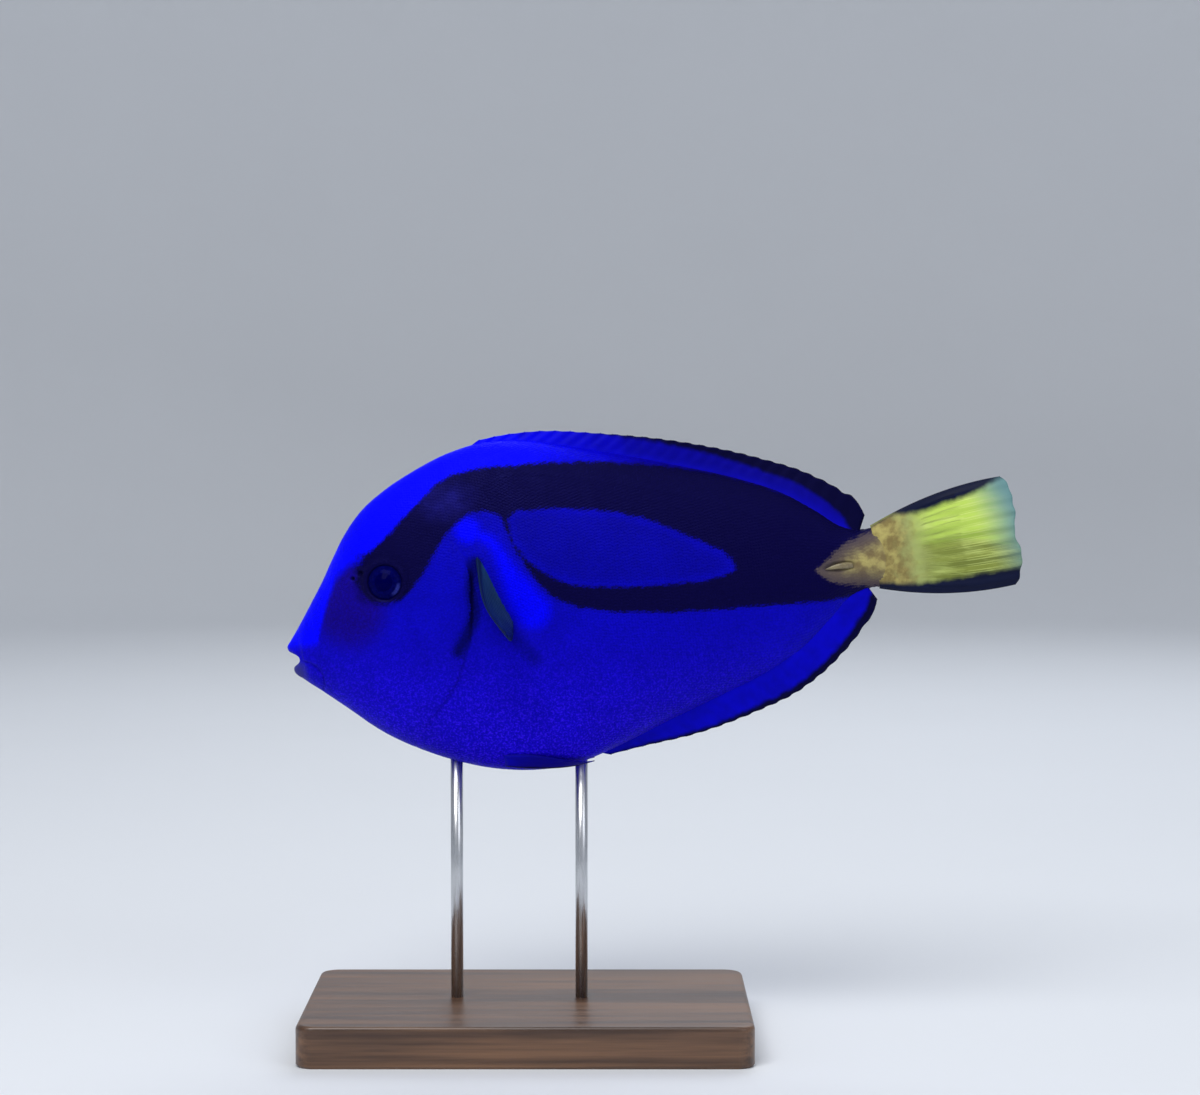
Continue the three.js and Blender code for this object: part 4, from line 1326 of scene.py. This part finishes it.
class RayGrowth:
    """Fin rays: tapered rods grown along lines, with their own paint values."""

    def __init__(self) -> None:
        """Builds the tree that turns lines into rods."""
        self.tree = NodeTree("fin_rays")
        sides = self.tree.knob("Sides", "NodeSocketInt")
        girth = self.tree.named("girth")
        curve = self.tree.add("GeometryNodeMeshToCurve", {"Mesh": self.tree.inputs.outputs[0]}).outputs[0]
        sized = self.tree.add("GeometryNodeSetCurveRadius", {"Curve": curve, "Radius": girth}).outputs[0]
        circle = self.tree.add("GeometryNodeCurvePrimitiveCircle", {"Resolution": sides, "Radius": 1.0})
        inputs = {"Curve": sized, "Profile Curve": circle.outputs[0], "Fill Caps": True}
        rods = self.tree.add("GeometryNodeCurveToMesh", inputs)
        if "Scale" in rods.inputs:
            self.tree.feed(rods.inputs["Scale"], girth)
        self.tree.close(rods.outputs[0])

    def grow(self, name: str, fin: "Fin", material: bpy.types.Material) -> bpy.types.Object:
        """Grows one fin's rays.

        Args:
            name: The new piece's name.
            fin: The fin whose rays they are.
            material: The fin's paint.

        Returns:
            The rays as one piece.
        """
        lines, edges, numbers, start = [], [], {}, 0
        for ray in fin.rays():
            line, _ = fin.place(ray.across, ray.along)
            values = fin.paint(ray.across, ray.along, line)
            values |= {"girth": ray.girth * MM, "ray": np.full(len(line), ray.tone)}
            for key, rows in values.items():
                numbers.setdefault(key, []).append(rows)
            edges += [(i, i + 1) for i in range(start, start + len(line) - 1)]
            lines.append(line)
            start += len(line)
        joined = {key: np.concatenate(rows) for key, rows in numbers.items()}
        carrier = scatter(f"{name}_lines", to_stand(np.vstack(lines)), joined, {}, edges)
        piece = self.tree.grow(carrier, name, {"Sides": 7, "Material": material})
        piece.data.polygons.foreach_set("use_smooth", np.full(len(piece.data.polygons), True))
        return piece


@dataclass(frozen=True)
class FinSheet:
    """A fin's web as one closed thin plate, split alike on both faces."""

    columns: int
    rows: int
    root_thick: float
    edge_thick: float
    root_power: float = 0.6
    fleshy: float = 0.0

    def build(
        self,
        name: str,
        place: Callable[[np.ndarray, np.ndarray], tuple[np.ndarray, np.ndarray]],
        material: bpy.types.Material,
        paint: Callable[[np.ndarray, np.ndarray, np.ndarray], dict],
    ) -> bpy.types.Object:
        """Builds the web.

        Args:
            name: The piece's name.
            place: Gives the points and the directions through the plate for arrays of u and v.
            material: The fin's paint.
            paint: Gives the paint's numbers for arrays of u and v and the points.

        Returns:
            The web's object.
        """
        u = np.repeat(np.linspace(0, 1, self.columns), self.rows)
        v = np.tile(np.linspace(0, 1, self.rows), self.columns)
        middle, through = place(u, v)
        flesh = self.fleshy * np.sqrt(1 - (1 - 2 * u) ** 2) * (1 - smoothstep(v, 0.0, 0.36))
        thick = (mix(self.root_thick, self.edge_thick, v ** self.root_power) + flesh)[:, None] / 2
        points = np.vstack((middle + through * thick, middle - through * thick))
        half, n, m = self.columns * self.rows, self.columns, self.rows
        faces = []
        for i in range(n - 1):
            for j in range(m - 1):
                a, b, c, d = i * m + j, (i + 1) * m + j, (i + 1) * m + j + 1, i * m + j + 1
                faces += [(a, b, c), (a, c, d)]
                faces += [(half + a, half + c, half + b), (half + a, half + d, half + c)]
        rim = [i * m for i in range(n - 1)] + [(n - 1) * m + j for j in range(m - 1)]
        rim += [i * m + m - 1 for i in range(n - 1, 0, -1)] + list(range(m - 1, 0, -1))
        faces += [(a, half + a, half + b, b) for a, b in zip(rim, rim[1:] + rim[:1])]
        values = {key: np.tile(numbers, 2) for key, numbers in paint(u, v, middle).items()}
        values["ray"] = np.zeros(2 * half)
        return make_piece(name, to_stand(points), faces, material, values)


class Fin:
    """What every fin shares: a web over its middle surface, and rays along it."""

    name: str

    def place(self, u: np.ndarray, v: np.ndarray) -> tuple[np.ndarray, np.ndarray]:
        """The fin's middle surface.

        Args:
            u: From the fin's front or upper edge to its rear or lower one.
            v: From its root to its outer edge.

        Returns:
            The points and the directions through the fin.
        """
        raise NotImplementedError

    def paint(self, u: np.ndarray, v: np.ndarray, points: np.ndarray) -> dict:
        """The paint's numbers.

        Args:
            u: As for place.
            v: As for place.
            points: The points there.

        Returns:
            One row of numbers under each name.
        """
        raise NotImplementedError

    def rays(self) -> list[Ray]:
        """The fin's rays."""
        raise NotImplementedError

    def sheet(self) -> FinSheet:
        """How the fin's web is split and how thick it is."""
        raise NotImplementedError

    def grow(self, slot: Slot, material: bpy.types.Material, growth: RayGrowth) -> None:
        """Builds the web and the rays.

        Args:
            slot: The record's slot of the fin's finish; not used.
            material: The fin's paint.
            growth: What grows the rays.
        """
        web = self.sheet().build(f"{self.name}_web", self.place, material, self.paint)
        rays = growth.grow(f"{self.name}_rays", self, material)
        settle(web, (self.name,))
        settle(rays)


@dataclass(frozen=True)
class MedianFin(Fin):
    """The fin along the back or the belly, its rays leaning to the rear."""

    name: str
    front: float
    edge: tuple
    rim_width: tuple
    body_edge: Curve
    spines: int
    soft_rays: int
    sink: float
    sweep: float
    # How much of the fin's bright tip colour shows at each x; on the dorsal fin it is the painted top light
    # of the crown
    light: tuple
    back: float = 141.5
    lean: tuple[float, float] = (3.0, 2.4)

    def place(self, u: np.ndarray, v: np.ndarray) -> tuple[np.ndarray, np.ndarray]:
        """The fin's middle surface, as Fin.place describes it."""
        edge_x, edge_z = np.array(self.edge, float).T
        count = self.spines + self.soft_rays - 1
        notch = 0.5 - 0.5 * np.cos(2 * math.pi * u * count)
        base_x = mix(self.front, self.back, u)
        base_z = self.body_edge(base_x) + self.sink
        lean = mix(*self.lean, u) + self.sweep * np.sin(math.pi * u)
        tip_x = np.minimum(base_x + lean + 0.2 * (1 - notch), edge_x[-1])
        tip_z = Curve(edge_x, edge_z)(tip_x)
        bow = 0.35 * np.sin(math.pi * v) * (1 + 2 * u) * (1 - smoothstep(u, 0.9, 1.0))
        reach = v * (1 - 0.03 * notch)
        sway = 0.5 * np.sin(3 * math.pi * u) * v * v
        ripple = 0.1 * np.sin(2 * math.pi * u * count) * smoothstep(v, 0.1, 0.6)
        point = np.column_stack((mix(base_x, tip_x, reach) - bow, sway + ripple, mix(base_z, tip_z, reach)))
        return point, np.tile((0.0, 1.0, 0.0), (len(u), 1))

    def paint(self, u: np.ndarray, v: np.ndarray, points: np.ndarray) -> dict:
        """How far out each point is, how bright (on the dorsal fin, the painted top light of the crown), and
        how deep inside the dark rim.
        """
        from_edge = distance_to(points[:, [0, 2]], smooth_line(self.edge))
        return {
            "out": v,
            "end": np.interp(points[:, 0], *zip(*self.light)),
            "rim": np.interp(points[:, 0], *zip(*self.rim_width)) - from_edge,
        }

    def rays(self) -> list[Ray]:
        """Each spine as one line, and each soft ray as a stem that forks in two."""
        v = np.linspace(0.0, 1.0, 22)
        fork = 0.17 * smoothstep(v, 0.45, 0.9)
        last = self.spines + self.soft_rays - 1
        thick, thin = mix(0.44, 0.16, v ** 0.8), mix(0.36, 0.13, v ** 0.8)
        spines = [Ray(np.full(len(v), i / last), v, thick, 0.3) for i in range(self.spines)]
        return spines + [
            Ray(np.clip((i + way * fork) / last, 0, 1), v, thin, 0.3)
            for i in range(self.spines, last + 1)
            for way in (-1, 1)
        ]

    def sheet(self) -> FinSheet:
        """A web that swells at its root, where it leaves the body."""
        columns = 6 * (self.spines + self.soft_rays - 1) + 1
        return FinSheet(columns, rows=18, root_thick=2.6, edge_thick=0.22, root_power=0.35)


@dataclass(frozen=True)
class TailFin(Fin):
    """The tail fin, half closed, with its rays fanned out a little from the tail's base."""

    name: str = "caudal_fin"
    count: int = 17
    root_x: float = 145.0
    reach: float = 180.0
    half_root: float = 7.4
    half_tip: float = 13.25
    tip_middle: float = 1.45
    ridge: tuple[float, float] = (0.6, 0.03)

    def place(self, u: np.ndarray, v: np.ndarray) -> tuple[np.ndarray, np.ndarray]:
        """The fin's middle surface, as Fin.place describes it."""
        w = 1 - 2 * u
        wavy = 0.35 * np.sin(19 * u + 0.6) + 0.25 * np.sin(41 * u)
        tip_x = self.reach - 0.9 * ridge(w, 0.3) - 2.2 * w ** 6 + 0.5 * wavy
        tip_z = self.tip_middle + self.half_tip * w
        bulge = 1.7 * w * 4 * v * (1 - v)
        pleat = 0.2 * np.cos(math.pi * u * (self.count - 1)) * smoothstep(v, 0.15, 0.7)
        pleat = pleat + 0.3 * np.cos(15.5 * u - 1.2) * smoothstep(v, 0.1, 0.8)
        crease = 0.95 * ridge(w - mix(*self.ridge, v), 0.17) * smoothstep(v, 0.1, 0.5)
        fold = -3.0 * (1 - w * w) * v ** 1.3 - crease + pleat
        point = np.column_stack((
            mix(self.root_x, tip_x, v), fold, mix(self.half_root * w, tip_z, v) + bulge,
        ))
        return point, np.tile((0.0, 1.0, 0.0), (len(u), 1))

    def paint(self, u: np.ndarray, v: np.ndarray, points: np.ndarray) -> dict:
        """The root's amber, the shade below the crease, the pale margin and the dark rims."""
        height = 2 * mix(self.half_root, self.half_tip, v)
        top = 2.3 * smoothstep(v, 0.1, 0.42) * (1 - 0.9 * smoothstep(v, 0.72, 1.0)) - height * u
        bottom = mix(1.4, 4.0, smoothstep(v, 0.05, 0.9)) - height * (1 - u)
        return {
            "out": v,
            "root": 1 - smoothstep(points[:, 0], 146.0, 160.0),
            "low": smoothstep(mix(*self.ridge, v) - (1 - 2 * u), 0.0, 0.5) * smoothstep(v, 0.15, 0.42),
            "end": smoothstep(v + 0.1 * (1 - 2 * u), 0.74, 1.06),
            "rim": np.maximum(top, bottom),
        }

    def rays(self) -> list[Ray]:
        """The outer rays plain, and each other ray as a stem that forks twice."""
        v = np.linspace(0.0, 1.0, 30)
        first, second = 0.16 * smoothstep(v, 0.3, 0.6), 0.08 * smoothstep(v, 0.62, 0.9)
        girth = mix(0.42, 0.11, v ** 0.7)
        ways = [first * a + second * b for a in (-1, 1) for b in (-1, 1)]
        last = self.count - 1
        outer = [Ray(np.full(len(v), u), v, girth, 0.4) for u in (0.0, 1.0)]
        return outer + [Ray((i + way) / last, v, girth, 0.5) for i in range(1, last) for way in ways]

    def sheet(self) -> FinSheet:
        """A web with a fleshy root, as thick as the tail's stalk where that ends."""
        return FinSheet(8 * (self.count - 1) + 1, rows=44, root_thick=0.9, edge_thick=0.18, fleshy=3.2)


@dataclass(frozen=True)
class PectoralFin(Fin):
    """A pectoral fin held out from the flank and down."""

    name: str
    shape: BodyShape
    side: Side
    root: tuple[float, float] = (49.7, 17.6)
    count: int = 16
    angles: tuple[float, float] = (49.0, 88.0)
    lengths: tuple[float, float] = (27.6, 14.5)
    sunk: float = 2.4
    base_drop: float = 4.0
    base_slant: float = 3.3
    bows: tuple[float, float] = (2.3, 0.1)

    def place(self, u: np.ndarray, v: np.ndarray) -> tuple[np.ndarray, np.ndarray]:
        """The fin's middle surface, as Fin.place describes it."""
        out = unit(np.array((0.1, self.side.value, 0.0)))
        down = unit(np.array((0.16, 0.0, -1.0)))
        through = unit(np.cross(out, down))
        start = self.shape.flank(*self.root, self.side)[0][0]
        folds = np.cos(2 * math.pi * u * (self.count - 1))
        angle = np.radians(mix(*self.angles, u ** 0.9))
        along = (mix(*self.lengths, u ** 1.2) - 1.6 * (1 - u) ** 6 + 0.35 * folds) * v
        away = along * np.cos(angle) - self.sunk * (1 - v)
        drop = self.base_drop * u + along * np.sin(angle)
        bow = mix(*self.bows, u) * np.sin(math.pi * v ** 1.4)
        forward = bow - self.base_slant * u + 0.4 * v * v * (1 - u) + 0.12 * folds * v
        point = start + np.outer(away, out) + np.outer(drop, down)
        return point + np.outer(forward * self.side.value, through), np.tile(through, (len(u), 1))

    def paint(self, u: np.ndarray, v: np.ndarray, points: np.ndarray) -> dict:
        """How far out each point is, its darker outer part and its dark leading edge."""
        return {"out": v, "end": smoothstep(v, 0.45, 1.0), "rim": 0.9 - 22 * u * (0.35 + v)}

    def rays(self) -> list[Ray]:
        """Two plain rays, then rays that fork near their tips, and a pale one along the rear edge."""
        v = np.linspace(0.0, 1.0, 24)
        fork = 0.17 * smoothstep(v, 0.5, 0.9)
        last = self.count - 1
        thick, thin = mix(0.40, 0.1, v ** 0.8), mix(0.32, 0.1, v ** 0.8)
        rays = [Ray(np.full(len(v), i / last), v, thick, 0.4) for i in (0, 1)]
        rays += [Ray((i + way * fork) / last, v, thin, 0.4) for i in range(2, last) for way in (-1, 1)]
        return [*rays, Ray(np.ones(len(v)), v, mix(0.34, 0.16, v), 1.0)]

    def sheet(self) -> FinSheet:
        """A web with a thick root that soon thins."""
        return FinSheet(6 * (self.count - 1) + 1, rows=26, root_thick=1.9, edge_thick=0.16, root_power=0.3)


@dataclass(frozen=True)
class PelvicFin(Fin):
    """A pelvic fin folded back along the belly."""

    name: str
    shape: BodyShape
    side: Side
    root_x: float = 48.5
    length: float = 21.0
    slant: float = 3.5
    turns: tuple[float, float] = (0.3, 0.2)
    count: int = 4

    def place(self, u: np.ndarray, v: np.ndarray) -> tuple[np.ndarray, np.ndarray]:
        """The fin's middle surface, as Fin.place describes it, following the skin of the belly."""
        x = self.root_x + (self.length - self.slant * u) * v
        low = mix(*self.turns, v)
        high = low + mix(0.16, 0.3, np.sin(0.8 * math.pi * v)) * (1 - 0.55 * v)
        turn = mix(low, high, u) * self.side.value
        point, out, _ = self.shape.frame_at(self.shape.place_at(x), 1.5 * math.pi + turn)
        clear = 0.35 + 0.5 * v + 0.7 * v * v
        return point + out * clear[:, None], out

    def paint(self, u: np.ndarray, v: np.ndarray, points: np.ndarray) -> dict:
        """How far out each point is and its dark front edge."""
        return {"out": v, "end": np.zeros(len(u)), "rim": 0.8 - 6 * u}

    def rays(self) -> list[Ray]:
        """One spine and three soft rays."""
        v = np.linspace(0.0, 1.0, 18)
        roots = [0.4] + [0.3] * (self.count - 1)
        across = np.linspace(0.0, 1.0, self.count)
        return [Ray(np.full(len(v), u), v, mix(root, 0.12, v), 0.5) for u, root in zip(across, roots)]

    def sheet(self) -> FinSheet:
        """A thin web."""
        return FinSheet(8 * (self.count - 1) + 1, rows=20, root_thick=0.9, edge_thick=0.2)


@dataclass(frozen=True)
class Eye:
    """A domed glass eye sunk in its socket."""

    shape: BodyShape
    side: Side
    at: tuple[float, float] = (26.6, 12.6)
    radius: float = 4.6
    depth: float = 3.15
    sunk: float = 1.8
    pupil: float = 2.25
    # Where round the iris the painted glint of the crescent lies
    crescent: float = math.radians(50)

    def build(self, material: bpy.types.Material) -> None:
        """Builds the eye as a turned dome with a swelling pupil.

        Args:
            material: The eye's glass.
        """
        point, out, lie = (rows[0] for rows in self.shape.flank(self.at[0], self.at[1], self.side))
        up = unit(np.cross(out, lie)) * -self.side.value
        centre = point - out * self.sunk
        rings, around = 40, 64
        tilt = np.repeat(np.linspace(0, math.pi, rings + 1)[1:-1], around)
        turn = np.tile(np.linspace(0, 2 * math.pi, around, endpoint=False), rings - 1)
        radial = self.radius * np.sin(tilt)
        swell = 0.22 * (1 - smoothstep(radial, 0.0, self.pupil)) * (np.cos(tilt) > 0)
        rim = -0.12 * ridge(radial - self.pupil - 0.15, 0.25) * (np.cos(tilt) > 0)
        height = self.depth * np.cos(tilt) + swell + rim
        disc = np.outer(radial * np.cos(turn), lie) + np.outer(radial * np.sin(turn), up)
        points = centre + disc + np.outer(height, out)
        poles = (centre + out * (self.depth + 0.22), centre - out * self.depth)
        points = np.vstack((points, poles))
        faces = tube_faces(rings - 1, around, poles=True)
        bearing = np.concatenate((np.cos(turn + self.crescent), (0.0, 0.0)))
        values = {"radial": np.concatenate((radial, (0.0, 0.0))), "bearing": bearing}
        eye = make_piece(f"eye_{self.side.word}_glass", to_stand(points), faces, material, values)
        settle(eye, (f"eye_{self.side.word}",))


@dataclass(frozen=True)
class TailSpine:
    """The folding spine at the tail's base, lying in its groove with its point forwards."""

    shape: BodyShape
    side: Side
    front: float = 132.4
    height_at: float = -0.8
    length: float = 6.6
    height: float = 1.6
    proud: float = 0.4

    def build(self, material: bpy.types.Material) -> None:
        """Builds the spine as a tapered blade.

        Args:
            material: The spine's finish.
        """
        t = np.linspace(0.0, 1.0, 26)
        around = 16
        x = self.front + self.length * t
        middle, out, _ = self.shape.flank(x, np.full(len(t), self.height_at), self.side)
        taper = np.sin(np.minimum(1.0, 0.04 + 1.1 * t) * math.pi / 2) ** 0.8
        tall = self.height / 2 * taper * (1 - 0.25 * t ** 8)
        thick = 0.5 * np.minimum(1.0, 0.1 + 1.6 * t)
        centre = middle + out * (self.proud - 0.45)
        centre[:, 2] += 0.25 * np.sin(math.pi * t) - 0.1
        turn = np.linspace(0, 2 * math.pi, around, endpoint=False)
        up = np.array((0.0, 0.0, 1.0))
        points = np.vstack([
            centre[i] + np.outer(np.sin(turn) * tall[i], up) + np.outer(np.cos(turn) * thick[i], out[i])
            for i in range(len(t))
        ])
        points = np.vstack((points, centre[0] - (0.2, 0, 0), centre[-1] + (0.1, 0, 0)))
        faces = tube_faces(len(t), around, poles=True)
        spine = make_piece(f"tail_spine_{self.side.word}_blade", to_stand(points), faces, material, {})
        settle(spine, (f"tail_spine_{self.side.word}",))


@dataclass(frozen=True)
class Stand:
    """The plain display stand: a walnut base and two steel rods."""

    corner: float = 0.004
    bevel: float = 0.0012
    segments: int = 5

    def base(self, material: bpy.types.Material) -> None:
        """Builds the base in the room of its solid, with rounded edges."""
        low, high = (np.array(corner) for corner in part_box("stand_base"))
        middle, half = (low + high) / 2, (high - low) / 2
        quarter = np.linspace(0, math.pi / 2, 9)
        outline = []
        for k, (sx, sy) in enumerate(((1, 1), (-1, 1), (-1, -1), (1, -1))):
            turn = quarter + k * math.pi / 2
            centre = np.array((sx * (half[0] - self.corner), sy * (half[1] - self.corner)))
            outline.append(centre + self.corner * np.column_stack((np.cos(turn), np.sin(turn))))
        outline = np.vstack(outline)
        inward = unit(-outline)
        steps = np.linspace(0, math.pi / 2, self.segments + 1)
        rows = [(self.bevel * 0.5, 0.0), (0.0, self.bevel * 0.5)]
        top = 2 * half[2] - self.bevel
        rows += [(self.bevel * (1 - math.cos(a)), top + self.bevel * math.sin(a)) for a in steps]
        points = np.vstack([
            np.column_stack((outline + inward * inset, np.full(len(outline), height)))
            for inset, height in rows
        ])
        points[:, :2] += middle[:2]
        points[:, 2] += low[2]
        m = len(outline)
        faces = tube_faces(len(rows), m)
        faces += [tuple(range(m - 1, -1, -1)), tuple(range((len(rows) - 1) * m, len(rows) * m))]
        base = make_piece("stand_base_wood", points, faces, material, {}, smooth=False)
        settle(base, ("stand_base",))

    def rod(self, node: str, material: bpy.types.Material) -> None:
        """Builds one round rod in the room of its solid."""
        low, high = (np.array(corner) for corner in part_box(node))
        radius, around = (high[0] - low[0]) / 2, 48
        middle = (low + high) / 2
        turn = np.linspace(0, 2 * math.pi, around, endpoint=False)
        heights = (low[2], high[2])
        circle = middle[:2] + radius * np.column_stack((np.cos(turn), np.sin(turn)))
        points = np.vstack([np.column_stack((circle, np.full(around, z))) for z in heights])
        faces = tube_faces(2, around)
        faces += [tuple(range(around - 1, -1, -1)), tuple(range(around, 2 * around))]
        rod = make_piece(f"{node}_steel", points, faces, material, {})
        rod.data.polygons[-1].use_smooth = rod.data.polygons[-2].use_smooth = False
        settle(rod, (node,))

    def build(self, wood: bpy.types.Material, steel: bpy.types.Material) -> None:
        """Builds the base and both rods."""
        self.base(wood)
        for node in ("stand_rod_front", "stand_rod_rear"):
            self.rod(node, steel)


@dataclass(frozen=True)
class Lamp:
    """One soft square light that faces the fish: its place and side in metres, its power in watts."""

    name: str
    place: tuple[float, float, float]
    size: float
    power: float
    colour: Colour = (1.0, 1.0, 1.0)

    def hang(self, target: Vector) -> None:
        """Adds the light to the scene.

        Args:
            target: What it faces.
        """
        lamp = bpy.data.lights.new(self.name, "AREA")
        lamp.energy, lamp.size, lamp.color = self.power, self.size, self.colour
        holder = link(self.name, lamp)
        holder.location = self.place
        holder.rotation_euler = (target - Vector(self.place)).to_track_quat("-Z", "Y").to_euler()


@dataclass(frozen=True)
class Studio:
    """The pale floor, the soft lights and the camera at the photograph's viewing angle."""

    photo_width: float = 1200.0
    photo_height: float = 1095.0
    snout_pixel: tuple[float, float] = (287.0, 648.0)
    mm_per_pixel: float = 180 / 739
    lens: float = 85.0
    sensor: float = 36.0
    elevation: float = math.radians(3.0)
    floor_radius: float = 1.3
    wall_radius: float = 1.8
    wall_height: float = 1.5
    fish_height: float = 0.11
    lamps: tuple[Lamp, ...] = (
        Lamp("key_light", (-0.35, -0.75, 1.05), 0.7, 12.0),
        Lamp("fill_light", (0.9, -0.9, 0.8), 0.8, 3.8, (0.92, 0.95, 1.0)),
        Lamp("rim_light", (0.2, 0.75, 0.9), 0.8, 5.0, (0.9, 0.94, 1.0)),
    )
    sky: Colour = (0.80, 0.84, 0.92)
    sky_strength: float = 0.32

    def floor(self, material: bpy.types.Material) -> None:
        """Builds the round floor, which curves up into a wall all round."""
        curve = self.wall_radius - self.floor_radius
        bend = np.linspace(0.0, math.pi / 2, 18)
        radii = np.concatenate(((0.4, 0.8), self.floor_radius + curve * np.sin(bend), (self.wall_radius,)))
        heights = np.concatenate(((0.0, 0.0), curve * (1 - np.cos(bend)), (self.wall_height,)))
        around = 120
        turn = np.linspace(0, 2 * math.pi, around, endpoint=False)
        circle = np.column_stack((np.cos(turn), np.sin(turn)))
        rings = [np.column_stack((r * circle, np.full(around, z))) for r, z in zip(radii, heights)]
        points = np.vstack([(0.0, 0.0, 0.0), *rings])
        following = np.roll(np.arange(around), -1)
        faces = [(0, 1 + k, 1 + following[k]) for k in range(around)]
        for i in range(len(radii) - 1):
            a, b = 1 + i * around, 1 + (i + 1) * around
            faces += [(a + k, b + k, b + following[k], a + following[k]) for k in range(around)]
        mesh = bpy.data.meshes.new("floor")
        mesh.from_pydata(points.tolist(), [], faces)
        mesh.polygons.foreach_set("use_smooth", np.full(len(faces), True))
        mesh.materials.append(material)
        link("floor", mesh)

    def camera(self) -> None:
        """Sets the camera so that the snout falls on its place in the photograph."""
        middle_x = SNOUT[0] + (self.photo_width / 2 - self.snout_pixel[0]) * self.mm_per_pixel
        middle_z = SNOUT[2] + (self.snout_pixel[1] - self.photo_height / 2) * self.mm_per_pixel
        target = Vector((middle_x, 0.0, middle_z)) * MM
        distance = self.photo_width * self.mm_per_pixel * MM * self.lens / self.sensor
        away = Vector((0.0, -math.cos(self.elevation), math.sin(self.elevation)))
        lens = bpy.data.cameras.new("photo_camera")
        lens.lens, lens.sensor_width, lens.clip_start, lens.clip_end = self.lens, self.sensor, 0.01, 20.0
        holder = link("photo_camera", lens)
        holder.location = target + away * distance
        holder.rotation_euler = (-away).to_track_quat("-Z", "Y").to_euler()
        bpy.context.scene.camera = holder

    def build(self, material: bpy.types.Material) -> None:
        """Builds the whole studio."""
        scene = bpy.context.scene
        self.camera()
        self.floor(material)
        for lamp in self.lamps:
            lamp.hang(Vector((0.0, 0.0, self.fish_height)))
        scene.world = bpy.data.worlds.new("studio_world")
        scene.world.use_nodes = True
        background = scene.world.node_tree.nodes["Background"]
        background.inputs["Color"].default_value = (*self.sky, 1.0)
        background.inputs["Strength"].default_value = self.sky_strength
        scene.view_settings.view_transform = "Standard"


def main() -> None:
    """Builds the studio, the fish and its stand."""
    logging.basicConfig(level=logging.INFO, format="%(message)s")
    shape, markings = BodyShape(), Markings()
    relief = Relief(shape)
    Studio().build(StageFinish().make())
    body_paint = BodyPaint().make()
    Skin(shape, relief, markings).build(body_paint)
    ScaleCoat(shape, relief, markings).build(body_paint)
    growth = RayGrowth()
    fin_paint = FinPaint(
        name="fin_paint",
        root=(0.002, 0.001, 0.42),
        web=(0.002, 0.001, 0.24),
        # The bright blue of the painted top light on the dorsal fin's front
        tip=(0.0, 0.0, 0.85),
        ray=(0.001, 0.0008, 0.12),
        rim=(0.0012, 0.001, 0.016),
    ).make()
    dorsal = MedianFin(
        name="dorsal_fin",
        front=51.0,
        edge=DORSAL_EDGE,
        rim_width=DORSAL_RIM,
        # The dorsal fin's front carries on the painted top light of the crown
        light=CROWN_LIGHT,
        body_edge=shape.back,
        spines=9,
        soft_rays=19,
        sink=-1.2,
        sweep=3.4,
    )
    anal = MedianFin(
        name="anal_fin",
        front=71.0,
        edge=ANAL_EDGE,
        rim_width=ANAL_RIM,
        light=ANAL_LIGHT,
        body_edge=shape.belly,
        spines=3,
        soft_rays=18,
        sink=1.2,
        sweep=3.0,
    )
    for fin in (dorsal, anal):
        fin.grow(Slot.FIN, fin_paint, growth)
    TailFin().grow(Slot.YELLOW, TailPaint().make(), growth)
    pectoral_paint = FinPaint(
        name="pectoral_paint",
        root=(0.010, 0.046, 0.125),
        web=(0.006, 0.022, 0.066),
        tip=(0.0005, 0.002, 0.088),
        ray=(0.014, 0.042, 0.120),
        rim=(0.002, 0.008, 0.050),
        tint=(0.4, 0.8, 1.0),
    ).make()
    glass, bone = EyeGlass().make(), BoneFinish().make()
    for side in Side:
        PectoralFin(f"pectoral_fin_{side.word}", shape, side).grow(Slot.PECTORAL, pectoral_paint, growth)
        PelvicFin(f"pelvic_fin_{side.word}", shape, side).grow(Slot.FIN, fin_paint, growth)
        Eye(shape, side).build(glass)
        TailSpine(shape, side).build(bone)
    Stand().build(WalnutFinish().make(), SteelFinish().make())


if __name__ == "__main__":
    main()
